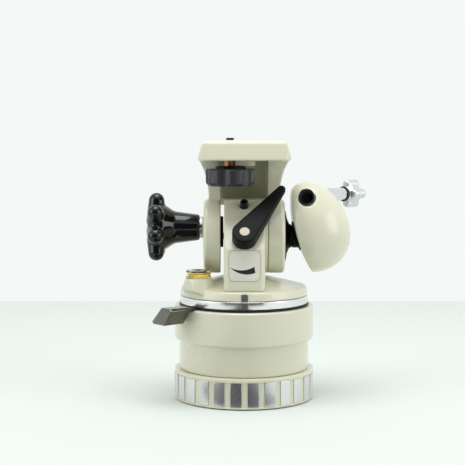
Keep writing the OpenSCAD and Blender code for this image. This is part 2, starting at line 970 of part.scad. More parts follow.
// Outer edge of a wall that flares into the platform's underside
function flare_edge(side) = [
    for (i = [0 : flare_steps])
        let (a = i * flare_turn / flare_steps)
            [side * (wall_out + flare_r * (1 - cos(a))), z_platform - flare_h + flare_r * sin(a)]
];

module yoke_wall(side, y0, y1) {
    along_y(y0, y1)
        polygon(concat(
            [[side * cheek_in, z_tilt], [side * wall_out, z_tilt]],
            flare_edge(side),
            [[side * (wall_out + flare_w), z_platform + cut], [side * cheek_in, z_platform + cut]]
        ));
}

module wall_cove(side) {
    intersection() {
        yoke_wall(side, -wall_front - cove_r, -wall_front + cut);
        difference() {
            translate([-platform_w / 2, -wall_front - cove_r, z_platform - cove_r])
                cube([platform_w, cove_r + 2 * cut, cove_r + cut / 2]);
            translate([-platform_w / 2 - cut, -wall_front - cove_r, z_platform - cove_r])
                rotate([0, 90, 0]) cylinder(r = cove_r + cove_over, h = platform_w + 2 * cut);
        }
    }
}

module yoke_cheek(side) {
    translate([side * cheek_in, 0, z_tilt])
        rotate([0, side * 90, 0])
            rotate_extrude()
                polygon([
                    [0, 0], [cheek_r, 0], [cheek_r, cheek_t - cheek_edge], [cheek_r - cheek_edge, cheek_t],
                    [0, cheek_t]
                ]);
}

// Platform with drafted sides and a bevelled upper edge
module platform_form() {
    half = platform_w / 2;
    z_edge = z_top - platform_bevel;
    inset = platform_draft + platform_bevel;
    intersection() {
        along_y(-platform_front, platform_rear)
            polygon([
                [-half, z_platform], [half, z_platform], [half - platform_draft, z_edge],
                [half - inset, z_top], [inset - half, z_top], [platform_draft - half, z_edge]
            ]);
        along_x(-half, half)
            polygon([
                [-platform_front, z_platform], [platform_rear, z_platform],
                [platform_rear - platform_draft, z_edge], [platform_rear - inset, z_top],
                [inset - platform_front, z_top], [platform_draft - platform_front, z_edge]
            ]);
        translate([0, 0, z_platform])
            linear_extrude(platform_t)
                rounded_rect(-half, half, -platform_front, platform_rear, platform_edge_r);
    }
}

// Slot of the camera screw, a stadium along X
module slot_form(radius, z0, z1) {
    translate([-camera_x, -camera_y, z0]) {
        cylinder(r = radius, h = z1 - z0);
        translate([camera_travel, 0, 0]) cylinder(r = radius, h = z1 - z0);
        translate([0, -radius, 0]) cube([camera_travel, 2 * radius, z1 - z0]);
    }
}

module tilt_yoke() {
    color(paint)
        difference() {
            union() {
                platform_form();
                for (side = [-1, 1]) {
                    yoke_wall(side, -wall_front, web_rear);
                    wall_cove(side);
                    yoke_cheek(side);
                }
                translate([-cheek_in - cut, web_rear - web_t, z_tilt])
                    cube([2 * (cheek_in + cut), web_t, platform_rise + cut]);
            }
            rod_x(web_clear_r, -cheek_in, cheek_in);
            rod_x(drag_r, cheek_in - cut, cheek_out - drag_floor);
            rod_x(axle_bush_r, cheek_in, cheek_out + cut);
            rod_x(pivot_r + fit_gap, -cheek_in - pivot_depth - run_gap, -cheek_in + cut);
            rod_x(brake_screw_r + fit_gap, -cheek_out - cut, -cheek_in + cut, brake_rise);
            rosette_screw_forms();
            slot_form(slot_r, z_platform - cut, z_top + cut);
            slot_form(slot_ledge_r, z_platform + slide_ledge, z_top + cut);
        }
}

module friction_plate() {
    x1 = -cheek_in + friction_t;
    color(black)
        difference() {
            union() {
                rod_x(friction_r, -cheek_in, x1);
                rod_x(friction_r, -cheek_in, x1, brake_rise);
                translate([-cheek_in, -friction_r, z_tilt]) cube([friction_t, 2 * friction_r, brake_rise]);
            }
            rod_x(pivot_r + fit_gap, -cheek_in - cut, x1 + cut);
        }
}

module axle_bush() {
    color(bronze) ring_x(axle_bush_r, axle_r + fit_gap, cheek_out - drag_floor, cheek_out);
}

// Countersunk screws that hold the rosette on the right cheek
module rosette_screw_forms() {
    round_tilt(rosette_screw_ring_r, rosette_screw_count, rosette_screw_start)
        translate([cheek_out + rosette_rim, 0, 0])
            rotate([0, -90, 0]) cylinder(d = rosette_screw_d, h = rosette_screw_len);
}

module rosette_screws() {
    color(steel) rosette_screw_forms();
}

module handle_rosette() {
    cone_x = rosette_rim + rosette_cone;
    color(black)
        difference() {
            translate([cheek_out, 0, z_tilt])
                rotate([0, 90, 0])
                    rotate_extrude()
                        polygon([
                            [0, 0], [rosette_r, 0], [rosette_r, rosette_rim], [rosette_hub_r, cone_x],
                            [rosette_hub_r, cone_x + rosette_hub], [0, cone_x + rosette_hub]
                        ]);
            rosette_screw_forms();
            rod_x(holder_bolt_r + fit_gap, cheek_out + rosette_floor, rosette_out + cut);
        }
}

module brake_knob() {
    x0 = -cheek_out - run_gap - collar_t;
    star_z = brake_len - star_t;
    color(black)
        difference() {
            union() {
                translate([x0, 0, z_tilt + brake_rise])
                    rotate([0, -90, 0])
                        rotate_extrude()
                            polygon([
                                [0, 0], [stem_r1, 0], [stem_r2, star_z - star_flare],
                                [star_hub_r - star_shoulder, star_z],
                                [star_hub_r, star_z + star_shoulder], [star_hub_r, brake_len - star_flare],
                                [star_hub_r - star_flare, brake_len - star_step],
                                [0, brake_len - star_step]
                            ]);
                translate([x0 - brake_len + lobe_r, 0, brake_rise])
                    round_tilt(star_ring_r, star_lobes, star_start) {
                        sphere(r = lobe_r);
                        translate([0, 0, arm_in - star_ring_r])
                            cylinder(r1 = arm_root_r, r2 = lobe_r - arm_neck, h = star_ring_r - arm_in);
                    }
            }
            rod_x(brake_screw_r, x0 - brake_screw_in, x0 + cut, brake_rise);
        }
}

module brake_collar() {
    x1 = -cheek_out - run_gap;
    color("silver")
        difference() {
            rod_x(collar_r, x1 - collar_t, x1, brake_rise);
            rod_x(brake_screw_r, x1 - collar_t - cut, x1 + cut, brake_rise);
        }
}

module brake_screw() {
    x0 = -cheek_out - run_gap - collar_t;
    color(steel) rod_x(brake_screw_r, x0 - brake_screw_in, -cheek_in - run_gap, brake_rise);
}

// Radius of the egg at a share u of its half length, counted from the middle
function egg_radius(u) = egg_r * sqrt(1 - u * u) * (1 + egg_bulge * u);

// Egg-shaped solid of revolution, cut by the slightly bulging flat face
module egg_form() {
    half = egg_len / 2;
    difference() {
        translate([socket_at, 0, z_socket])
            rotate([0, 180 - egg_lean, 0])
                rotate_extrude()
                    polygon([
                        for (i = [0 : egg_steps])
                            let (u = -cos(i * 180 / egg_steps))
                                [max(0, egg_radius(u)), half * (1 + u) - top_reach]
                    ]);
        flat_side(egg_len);
        corner_side(egg_len);
    }
}

// Everything outside the round upper corner, between the flat face and the top
module corner_side(size) {
    translate([socket_at, 0, z_socket])
        rotate([0, -corner_lean, 0])
            difference() {
                translate([-size, -size, 0]) cube([size, 2 * size, size]);
                rotate([90, 0, 0]) cylinder(r = corner_r, h = 3 * size, center = true);
            }
}

// Frame on the holder's flat face, at the tilt axis, with Z pointing into the egg
module on_flat() {
    translate([holder_flat, 0, z_tilt]) rotate([0, 90 - flat_lean, 0]) children();
}

// Cylinder of the flat face's bulge, whose axis runs along Y
module flat_rod(radius, size) {
    on_flat()
        translate([0, 0, flat_r])
            rotate([90, 0, 0]) cylinder(r = radius, h = 3 * size, center = true, $fn = 360);
}

// Everything on the hub's side of the flat face
module flat_side(size) {
    difference() {
        on_flat() translate([-size, -size, -2 * size]) cube([2 * size, 2 * size, 2.25 * size]);
        flat_rod(flat_r, size);
    }
}

module holder_bolt_form() {
    rod_x(holder_bolt_r, cheek_out + rosette_floor + run_gap, holder_bolt_end);
    rod_x(holder_bolt_head_r, holder_bolt_end - holder_bolt_head, holder_bolt_end);
}

module socket_rod(radius, y0, y1) {
    translate([socket_at, y1, z_socket]) rotate([90, 0, 0]) cylinder(r = radius, h = y1 - y0);
}

// Cylinder along the clamp screw's axis, by distance from the pan bar's axis
module clamp_rod(radius, q0, q1) {
    on_clamp() translate([0, 0, q0]) cylinder(r = radius, h = q1 - q0);
}

module on_clamp() {
    translate([socket_at, clamp_y, z_socket])
        rotate([0, 90, clamp_angle]) children();
}

// Screws that hold the holder's shells together, from the rear
module holder_screw_forms() {
    for (place = holder_screw_places)
        translate([holder_flat + place[0], holder_screw_len / 2, z_tilt + place[1]])
            rotate([90, 0, 0]) {
                cylinder(r = holder_screw_r, h = holder_screw_len);
                cylinder(r = holder_screw_head_r, h = holder_screw_head);
            }
}

module holder_solid() {
    difference() {
        egg_form();
        holder_bolt_form();
        socket_rod(socket_bush_r, -egg_r - cut, socket_depth);
        socket_rod(socket_recess_r, -egg_r - cut, -socket_mouth);
        clamp_rod(clamp_tip_r + run_gap, 0, clamp_len);
        clamp_rod(clamp_r + fit_gap, clamp_step, clamp_len);
        holder_screw_forms();
    }
}

module holder_front() {
    color(paint)
        intersection() {
            holder_solid();
            translate([0, -seam_front - egg_len, 0]) cube([2 * egg_len + cheek_out, egg_len, z_top]);
        }
}

module holder_rear() {
    color(paint)
        difference() {
            intersection() {
                holder_solid();
                translate([0, -seam_front, 0]) cube([2 * egg_len + cheek_out, egg_len, z_top]);
            }
            holder_screw_head_ways();
        }
}

// Ways by which the shells' screws go in from the rear
module holder_screw_head_ways() {
    for (place = holder_screw_places)
        translate([holder_flat + place[0], egg_len, z_tilt + place[1]])
            rotate([90, 0, 0]) cylinder(r = holder_screw_head_r, h = egg_len - holder_screw_len / 2);
}

module holder_hub() {
    color(black)
        difference() {
            union() {
                intersection() {
                    rod_x(rosette_hub_r, rosette_out + run_gap, holder_flat + rosette_hub_r);
                    flat_side(egg_len);
                }
                intersection() {
                    on_flat() cylinder(r = flange_plate_r, h = 4 * flange_plate_t, center = true);
                    difference() {
                        flat_rod(flat_r + flange_plate_t, egg_len);
                        flat_rod(flat_r, egg_len);
                    }
                }
            }
            holder_bolt_form();
        }
}

module bar_bush() {
    color(black)
        difference() {
            socket_rod(socket_bush_r, -socket_mouth, socket_depth);
            socket_rod(socket_r, -socket_mouth - cut, socket_depth + cut);
            clamp_rod(clamp_tip_r + run_gap, 0, clamp_step);
        }
}

module holder_bolt() {
    color(steel) holder_bolt_form();
}

module holder_screws() {
    color(steel) holder_screw_forms();
}

module clamp_shaft() {
    color("silver") {
        clamp_rod(clamp_tip_r, clamp_tip, clamp_step + run_gap + cut);
        clamp_rod(clamp_r, clamp_step + run_gap, clamp_len - clamp_knob_len);
    }
}

module clamp_ring() {
    q1 = clamp_len - clamp_knob_len;
    color(black)
        difference() {
            clamp_rod(clamp_ring_r, q1 - clamp_ring_t, q1);
            clamp_rod(clamp_r, q1 - clamp_ring_t - cut, q1 + cut);
        }
}

module clamp_knob() {
    q0 = clamp_len - clamp_knob_len;
    lobe_ring_r = clamp_knob_d / 2 - clamp_lobe_r;
    color("silver") {
        clamp_rod(clamp_r, q0, clamp_len);
        on_clamp()
            for (i = [0 : clamp_lobes - 1])
                rotate([0, 0, i * 360 / clamp_lobes])
                    translate([lobe_ring_r, 0, q0]) {
                        cylinder(r = clamp_lobe_r, h = clamp_knob_len);
                        translate([-lobe_ring_r, -clamp_lobe_r, 0])
                            cube([lobe_ring_r, 2 * clamp_lobe_r, clamp_knob_len]);
                    }
    }
}

module at_camera_screw(z) {
    translate([-camera_x, -camera_y, z]) children();
}

module screw_bush() {
    z_ledge = z_platform + slide_ledge + run_gap;
    color([0.72, 0.45, 0.3])
        difference() {
            union() {
                at_camera_screw(z_slide) cylinder(r = slide_bush_r, h = z_ledge - z_slide);
                at_camera_screw(z_ledge) cylinder(r = slide_flange_r, h = slide_flange_t);
            }
            at_camera_screw(z_slide - cut) cylinder(r = shank_r + fit_gap, h = z_top);
        }
}

module slide_block() {
    color("ivory")
        difference() {
            at_camera_screw(z_slide)
                translate([slide_bush_r - slide_block_seat, -slide_block_w / 2, 0])
                    cube([slide_block_len, slide_block_w, slide_block_h]);
            at_camera_screw(z_slide - cut) cylinder(r = slide_bush_r, h = slide_block_h + 2 * cut);
        }
}

module camera_knob() {
    r = camera_knob_r;
    color([0.25, 0.25, 0.26])
        difference() {
            at_camera_screw(z_camera_knob)
                rotate_extrude()
                    polygon([
                        [0, 0], [r - knob_lower_edge, 0], [r, knob_lower_edge],
                        [r, camera_knob_h - knob_upper_edge], [r - knob_upper_edge, camera_knob_h],
                        [0, camera_knob_h]
                    ]);
            at_camera_screw(z_camera_knob - cut)
                for (i = [0 : knob_flutes - 1])
                    rotate([0, 0, knob_flute_start + i * 360 / knob_flutes])
                        translate([r + knob_flute_r - knob_flute_depth, 0, 0])
                            cylinder(r = knob_flute_r, h = camera_knob_h + 2 * cut);
            camera_stud_form();
        }
}

module camera_collar() {
    z = z_camera_knob + camera_knob_h;
    color(black)
        difference() {
            at_camera_screw(z) cylinder(r = screw_collar_r, h = collar_h);
            camera_stud_form();
        }
}

module camera_stud_form() {
    z0 = z_camera_knob + stud_floor;
    z1 = z_top + camera_screw_out - camera_thread;
    at_camera_screw(z0) cylinder(r = shank_r, h = z1 - z0);
    at_camera_screw(z1) cylinder(r = camera_screw_r, h = camera_thread);
}

module camera_stud() {
    color(steel) camera_stud_form();
}

base_housing();
base_plate();
tripod_insert();
base_screws();
pan_bushes();
pan_drag_stators();
scale_ring();
zero_mark();
grip_ring();
pan_brake_ring();
pan_lock_lever();
pan_spindle();
pan_drag_rotors();
spindle_nut();
thrust_washer();
pan_cap();
pan_index();
level_vial();
level_liquid();
level_target();
pillar();
pillar_screws();
drag_label();
stop_screw();
tilt_axle();
tilt_drag_cover();
drag_cover_screws();
tilt_drag_stators();
tilt_lever();
lever_cap();
lever_spindle();
tilt_yoke();
friction_plate();
axle_bush();
tilt_drag_rotor();
handle_rosette();
rosette_screws();
brake_knob();
brake_collar();
brake_screw();
holder_front();
holder_rear();
holder_hub();
bar_bush();
holder_bolt();
holder_screws();
clamp_shaft();
clamp_ring();
clamp_knob();
slide_block();
screw_bush();
camera_knob();
camera_collar();
camera_stud();
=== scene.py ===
"""Looks of a pan and tilt head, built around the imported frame.

Lengths are millimetres in every size field; they become metres where a piece is drawn. The origin is the
centre of the foot, +Z runs up the pan axis and the operator stands at -Y, as in the part's source.
"""

import logging
import math
from dataclasses import dataclass, replace
from enum import Enum
from typing import Optional, Sequence

import bpy
from mathutils import Matrix, Vector


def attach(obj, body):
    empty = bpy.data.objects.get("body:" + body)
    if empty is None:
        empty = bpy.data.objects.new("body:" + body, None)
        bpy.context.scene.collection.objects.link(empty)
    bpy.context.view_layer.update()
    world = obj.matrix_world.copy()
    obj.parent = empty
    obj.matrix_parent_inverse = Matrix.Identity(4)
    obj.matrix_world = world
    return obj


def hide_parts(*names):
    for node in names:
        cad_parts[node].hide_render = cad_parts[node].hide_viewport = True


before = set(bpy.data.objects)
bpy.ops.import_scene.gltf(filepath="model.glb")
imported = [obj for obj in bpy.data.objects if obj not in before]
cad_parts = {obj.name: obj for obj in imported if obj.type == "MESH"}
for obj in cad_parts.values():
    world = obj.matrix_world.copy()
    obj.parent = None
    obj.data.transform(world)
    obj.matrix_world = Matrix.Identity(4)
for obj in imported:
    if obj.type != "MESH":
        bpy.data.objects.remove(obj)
LOG = logging.getLogger("pan_tilt_head")

MM = 0.001
# points of a mesh that are nearer than this become one, in mm
DOUBLE_MM = 0.002
# faces of a node's copy that differ by less become one, in degrees
FLAT_ANGLE = 0.5
# pieces of a rounded corner, and of a turn that shows large in the picture
CORNER_STEPS, LARGE_TURN = 5, 160
# numbers of the colour sockets on a Mix node
MIX_A, MIX_B, MIX_RESULT = 6, 7, 2
# values between which noise clouds mostly lie, and the smoothest gloss that they may give
CLOUD_LOW, CLOUD_HIGH, GLOSS_FLOOR = 0.3, 0.7, 0.02
# pointiness at which the lighter edges start and are full, and how far they then go; the lightening is partly
# wear and partly a painted highlight on the edges
EDGE_RUB_AND_HIGHLIGHT_START, EDGE_RUB_AND_HIGHLIGHT_FULL, EDGE_RUB_AND_HIGHLIGHT_SHARE = 0.53, 0.62, 0.8
# a brush stroke's width over its length
STROKE = 0.04
Corner = tuple[float, float, float]
Point = tuple[float, float, float]
# corners of a turned piece, each with its radius, its height and its rounding
Outline = tuple[Corner, ...]
# centre, radius, first and last angle
Arc = tuple[tuple[float, float], float, float, float]
Piece = bpy.types.Object


class Surface(Enum):
    """How a surface was made, which gives it its fine relief."""

    SPRAYED = "sprayed"
    TURNED = "turned"
    BRUSHED = "brushed"
    MOULDED = "moulded"
    CAST = "cast"


def linear(colour: str) -> tuple[float, float, float, float]:
    """Turns an sRGB hex colour into linear values.

    Args:
        colour: Colour as "#RRGGBB".

    Returns:
        Linear red, green, blue and an alpha of 1.
    """
    parts = [int(colour[i:i + 2], 16) / 255 for i in (1, 3, 5)]
    red, green, blue = [p / 12.92 if p <= 0.04045 else ((p + 0.055) / 1.055) ** 2.4 for p in parts]
    return red, green, blue, 1.0


def node(tree: bpy.types.NodeTree, kind: str, inputs: Optional[dict] = None, **settings) -> bpy.types.Node:
    """Adds a node with its settings and links.

    Args:
        tree: Tree that gets the node.
        kind: Blender's name of the node type.
        inputs: Values or sockets by input name or number.
        **settings: Attributes of the node.

    Returns:
        The new node.
    """
    made = tree.nodes.new(kind)
    for key, value in settings.items():
        setattr(made, key, value)
    for key, value in (inputs or {}).items():
        if isinstance(value, bpy.types.NodeSocket):
            tree.links.new(value, made.inputs[key])
        else:
            made.inputs[key].default_value = value
    return made


@dataclass(frozen=True)
class Look:
    """A named material; each kind of look fills its tree in its own way."""

    name: str
    colour: str

    def material(self) -> bpy.types.Material:
        """Makes the material once and hands it out again later.

        Returns:
            The material.
        """
        made = bpy.data.materials.get(self.name)
        if made is None:
            made = bpy.data.materials.new(self.name)
            made.use_nodes = True
            self.fill(made.node_tree, made.node_tree.nodes["Principled BSDF"])
        return made

    def fill(self, tree: bpy.types.NodeTree, shader: bpy.types.Node) -> None:
        """Sets up the shader.

        Args:
            tree: The material's tree.
            shader: Its shader.
        """
        raise NotImplementedError


@dataclass(frozen=True)
class Finish(Look):
    """An opaque surface: two near colours, a gloss that varies, and a fine relief."""

    drift: str
    roughness: float
    surface: Surface
    metallic: float = 0.0
    ior: float = 1.5
    coat: float = 0.0
    coat_roughness: float = 0.08
    gloss_spread: float = 0.06
    drift_mm: float = 30.0
    grain_mm: float = 1.0
    relief_mm: float = 0.01
    # colour of the lighter edges, partly wear and partly a painted highlight; empty for none
    rubbed_and_highlit_edge: str = ""
    turn_origin: Point = (0.0, 0.0, 0.0)

    def fill(self, tree: bpy.types.NodeTree, shader: bpy.types.Node) -> None:
        """Drifts colour and gloss in soft clouds, lightens sharp edges with wear and a painted highlight, and
        adds relief.

        Args:
            tree: The material's tree.
            shader: Its shader.
        """
        shader.inputs["Metallic"].default_value = self.metallic
        shader.inputs["Coat Weight"].default_value = self.coat
        shader.inputs["Coat Roughness"].default_value = self.coat_roughness
        if not self.metallic:
            shader.inputs["IOR"].default_value = self.ior
        place = node(tree, "ShaderNodeTexCoord").outputs["Object"]
        clouds = node(tree, "ShaderNodeTexNoise", {
            "Vector": place, "Scale": 1 / (self.drift_mm * MM), "Detail": 3.0,
        }).outputs["Fac"]
        base = node(tree, "ShaderNodeMix", {
            0: clouds, MIX_A: linear(self.colour), MIX_B: linear(self.drift),
        }, data_type="RGBA").outputs[MIX_RESULT]
        # painted edge highlight, partly also wear
        if self.rubbed_and_highlit_edge:
            base = self.paint_edge_highlight_and_rub(tree, base)
        tree.links.new(base, shader.inputs["Base Color"])
        half = self.gloss_spread / 2
        gloss = node(tree, "ShaderNodeMapRange", {
            "Value": clouds, "From Min": CLOUD_LOW, "From Max": CLOUD_HIGH,
            "To Min": max(GLOSS_FLOOR, self.roughness - half), "To Max": self.roughness + half,
        })
        tree.links.new(gloss.outputs["Result"], shader.inputs["Roughness"])
        bump = node(tree, "ShaderNodeBump", {
            "Height": self.grain(tree, place), "Distance": self.relief_mm * MM, "Strength": 1.0,
        })
        tree.links.new(bump.outputs["Normal"], shader.inputs["Normal"])

    def paint_edge_highlight_and_rub(self, tree: bpy.types.NodeTree, base: bpy.types.NodeSocket) -> bpy.types.NodeSocket:
        """Lightens the sharp edges: partly wear, partly a painted highlight where edges catch light.

        Args:
            tree: The material's tree.
            base: Colour before the edges are lightened.

        Returns:
            Colour with lighter edges, partly worn and partly a painted highlight.
        """
        share = node(tree, "ShaderNodeMapRange", {
            "Value": node(tree, "ShaderNodeNewGeometry").outputs["Pointiness"],
            "From Min": EDGE_RUB_AND_HIGHLIGHT_START, "From Max": EDGE_RUB_AND_HIGHLIGHT_FULL, "To Min": 0.0, "To Max": EDGE_RUB_AND_HIGHLIGHT_SHARE,
        })
        return node(tree, "ShaderNodeMix", {
            0: share.outputs["Result"], MIX_A: base, MIX_B: linear(self.rubbed_and_highlit_edge),
        }, data_type="RGBA").outputs[MIX_RESULT]

    def grain(self, tree: bpy.types.NodeTree, place: bpy.types.NodeSocket) -> bpy.types.NodeSocket:
        """Draws the relief that the surface's making leaves.

        Args:
            tree: The material's tree.
            place: Object coordinates, in metres.

        Returns:
            Height of the relief, from 0 to 1.
        """
        if self.surface is Surface.TURNED:
            about = node(tree, "ShaderNodeMapping", {
                "Vector": place, "Location": [-c * MM for c in self.turn_origin],
            })
            parts = node(tree, "ShaderNodeSeparateXYZ", {"Vector": about.outputs["Vector"]}).outputs
            flat = node(tree, "ShaderNodeCombineXYZ", {"X": parts["X"], "Y": parts["Y"]})
            radius = node(tree, "ShaderNodeVectorMath", {0: flat.outputs["Vector"]}, operation="LENGTH")
            rings = node(tree, "ShaderNodeCombineXYZ", {"X": radius.outputs["Value"], "Z": parts["Z"]})
            place = rings.outputs["Vector"]
        elif self.surface is Surface.BRUSHED:
            strokes = node(tree, "ShaderNodeMapping", {"Vector": place, "Scale": (1.0, 1.0, STROKE)})
            place = strokes.outputs["Vector"]
        detail = {Surface.CAST: 5.0, Surface.SPRAYED: 1.0}.get(self.surface, 3.0)
        return node(tree, "ShaderNodeTexNoise", {
            "Vector": place, "Scale": 1 / (self.grain_mm * MM), "Detail": detail,
        }).outputs["Fac"]


@dataclass(frozen=True)
class ClearFinish(Look):
    """A clear body, such as acrylic or a liquid, tinted in its mass, with polishing smears."""

    ior: float
    roughness: float
    smear_mm: float = 4.0
    gloss_spread: float = 0.04

    def fill(self, tree: bpy.types.NodeTree, shader: bpy.types.Node) -> None:
        """Lets light through and varies the gloss in smears.

        Args:
            tree: The material's tree.
            shader: Its shader.
        """
        shader.inputs["Base Color"].default_value = linear(self.colour)
        shader.inputs["Transmission Weight"].default_value = 1.0
        shader.inputs["IOR"].default_value = self.ior
        smears = node(tree, "ShaderNodeTexNoise", {
            "Vector": node(tree, "ShaderNodeTexCoord").outputs["Object"],
            "Scale": 1 / (self.smear_mm * MM), "Detail": 2.0,
        })
        gloss = node(tree, "ShaderNodeMapRange", {
            "Value": smears.outputs["Fac"],
            "To Min": self.roughness, "To Max": self.roughness + self.gloss_spread,
        })
        tree.links.new(gloss.outputs["Result"], shader.inputs["Roughness"])


@dataclass(frozen=True)
class StageFinish(Look):
    """A plain matt sheet of the studio, which isn't part of the object."""

    roughness: float
    specular: float

    def fill(self, tree: bpy.types.NodeTree, shader: bpy.types.Node) -> None:
        """Sets one colour and gloss all over.

        Args:
            tree: The material's tree.
            shader: Its shader.
        """
        shader.inputs["Base Color"].default_value = linear(self.colour)
        shader.inputs["Roughness"].default_value = self.roughness
        shader.inputs["Specular IOR Level"].default_value = self.specular


# Satin enamel sprayed on castings: an even beige with a faint orange peel about 1.6 mm wide
ENAMEL = Finish("beige_enamel_sprayed", "#D8D7C1", "#D4D3BB", 0.28, Surface.SPRAYED, coat=0.4,
                coat_roughness=0.17, gloss_spread=0.02, grain_mm=1.6, relief_mm=0.007, drift_mm=60)
# Aluminium turned bright, then buffed: soft reflections drawn into rings about the pan axis
TURNED_ALUMINIUM = Finish("aluminium_turned_bright", "#F0F0EE", "#E4E5E6", 0.2, Surface.TURNED, metallic=1.0,
                          grain_mm=0.5, relief_mm=0.012, drift_mm=20)
# Lands of the grip, brushed upwards and buffed; the strokes are drawn as coarse as they need to show
BRUSHED_LAND = Finish("aluminium_brushed_land", "#ECECEA", "#D8D9DB", 0.3, Surface.BRUSHED, metallic=1.0,
                      grain_mm=0.45, relief_mm=0.015, drift_mm=9)
# Phenolic resin, pressed and polished: deep black with sharp reflections
BAKELITE = Finish("bakelite_polished", "#08090A", "#0E0F11", 0.1, Surface.MOULDED, ior=1.4, coat=0.3,
                  gloss_spread=0.04, grain_mm=3.0, relief_mm=0.02, drift_mm=8)
# Nylon moulded in a spark-eroded tool: dark grey with a fine grain, and edges lightened partly by rubbing and
# partly by a painted highlight
MOULDED_NYLON = Finish("nylon_moulded_dark", "#2C2D31", "#242529", 0.36, Surface.MOULDED, grain_mm=0.5,
                       drift_mm=10, rubbed_and_highlit_edge="#55575B")
# Black stoved lacquer on zinc: near black, with edges lightened partly by rubbing and partly by a painted
# highlight
BLACK_LACQUER = Finish("black_lacquer_on_zinc", "#090A0A", "#0E0F10", 0.4, Surface.SPRAYED, ior=1.2,
                       grain_mm=0.7, drift_mm=12, rubbed_and_highlit_edge="#343537")
# The same lacquer where no hand rubs it, without the lighter edges of wear and painted highlight
COVERED_LACQUER = replace(BLACK_LACQUER, name="black_lacquer_covered", colour="#111212", drift="#191A1A",
                          rubbed_and_highlit_edge="")
# Black chrome on a zinc die casting: smoky mirror
BLACK_CHROME = Finish("black_chrome_on_zinc", "#7C7C77", "#6C6C68", 0.16, Surface.MOULDED, metallic=1.0,
                      grain_mm=4.0, drift_mm=14)
# Nickel chrome plating on turned steel: a clear mirror
CHROME = Finish("nickel_chrome_plate", "#E6E7E8", "#DADBDD", 0.08, Surface.MOULDED, metallic=1.0,
                gloss_spread=0.03, grain_mm=3.0, relief_mm=0.004, drift_mm=12)
# Zinc die casting, tumbled: pale grey and softly bright
TUMBLED_ZINC = Finish("zinc_cast_tumbled", "#DEE1E4", "#D0D3D7", 0.42, Surface.MOULDED, metallic=1.0,
                      grain_mm=1.2, relief_mm=0.015, drift_mm=7)
# Free-cutting steel, turned and zinc plated: grey, with a soft gleam
STEEL = Finish("steel_zinc_plated", "#B9BABC", "#A9AAAD", 0.32, Surface.BRUSHED, metallic=1.0, grain_mm=0.6,
               relief_mm=0.008, drift_mm=6)
# Steel blackened in an oxide bath: dark, with edges lightened partly as bare metal and partly by a painted
# highlight
BLACKED_STEEL = Finish("steel_black_oxide", "#2B2B2D", "#343436", 0.36, Surface.BRUSHED, metallic=1.0,
                       grain_mm=0.6, drift_mm=5, rubbed_and_highlit_edge="#6E6E70")
# Bearing bronze, turned: brown gold with fine rings
BRONZE = Finish("bronze_bearing_turned", "#B98A58", "#A87A4B", 0.34, Surface.TURNED, metallic=1.0,
                grain_mm=0.5, drift_mm=8)
# Copper-rich brass of the camera screw's bush, turned about the screw's axis
COPPER_BRASS = Finish("brass_copper_rich", "#B07A5A", "#9C6A4D", 0.32, Surface.TURNED, metallic=1.0,
                      grain_mm=0.4, drift_mm=5, turn_origin=(-10.0, -22.6, 0.0))
# Aluminium gravity casting, shot blasted: grey and rough
BLASTED_ALUMINIUM = Finish("aluminium_cast_blasted", "#9A9B9C", "#888A8B", 0.5, Surface.CAST, metallic=1.0,
                           grain_mm=0.9, relief_mm=0.05, drift_mm=14)
# Acetal moulded in ivory: waxy and even
ACETAL = Finish("acetal_moulded_ivory", "#CCC6AE", "#C2BCA2", 0.36, Surface.MOULDED, grain_mm=0.8,
                relief_mm=0.008, drift_mm=6)
# Vulcanised fibre of the friction plate and the clamp screw's ring: dull black
FIBRE = Finish("vulcanised_fibre_black", "#161616", "#202020", 0.6, Surface.BRUSHED, grain_mm=0.5,
               relief_mm=0.02, drift_mm=5)
# Paint wiped into an engraving: even dark grey
MARK_PAINT = Finish("engraving_paint_grey", "#5B5C5A", "#4D4E4C", 0.45, Surface.SPRAYED, grain_mm=0.6,
                    relief_mm=0.012, drift_mm=3)
# Anodised foil with a fine vertical brushing
FOIL = Finish("foil_label_anodised", "#E6E5D8", "#DEDDD0", 0.34, Surface.BRUSHED, metallic=0.1, grain_mm=0.35,
              relief_mm=0.006, drift_mm=16)
# Film under the foil label, which shows as a grey line round it
LABEL_FILM = Finish("label_film_grey", "#A9A795", "#9F9D8B", 0.4, Surface.SPRAYED, grain_mm=0.5,
                    relief_mm=0.006, drift_mm=6)
# Black screen print, slightly raised
SCREEN_PRINT = Finish("screen_print_black", "#1C1D1D", "#262727", 0.42, Surface.SPRAYED, grain_mm=0.4,
                      relief_mm=0.006, drift_mm=4)
# Cast acrylic of the level, polished; its index is set below the real one, so that the target shows
ACRYLIC = ClearFinish("acrylic_cast_clear", "#F8F0CC", 1.3, 0.02)
# Dyed spirit in the level, which has about the acrylic's index as set above
SPIRIT = ClearFinish("spirit_dyed_yellow", "#EED667", 1.3, 0.01)
FLOOR_SHEET = StageFinish("floor_acrylic_white", "#D6DDD9", 0.6, 0.0)
DARK_CARD = StageFinish("tent_card_grey", "#3C3E40", 1.0, 0.5)


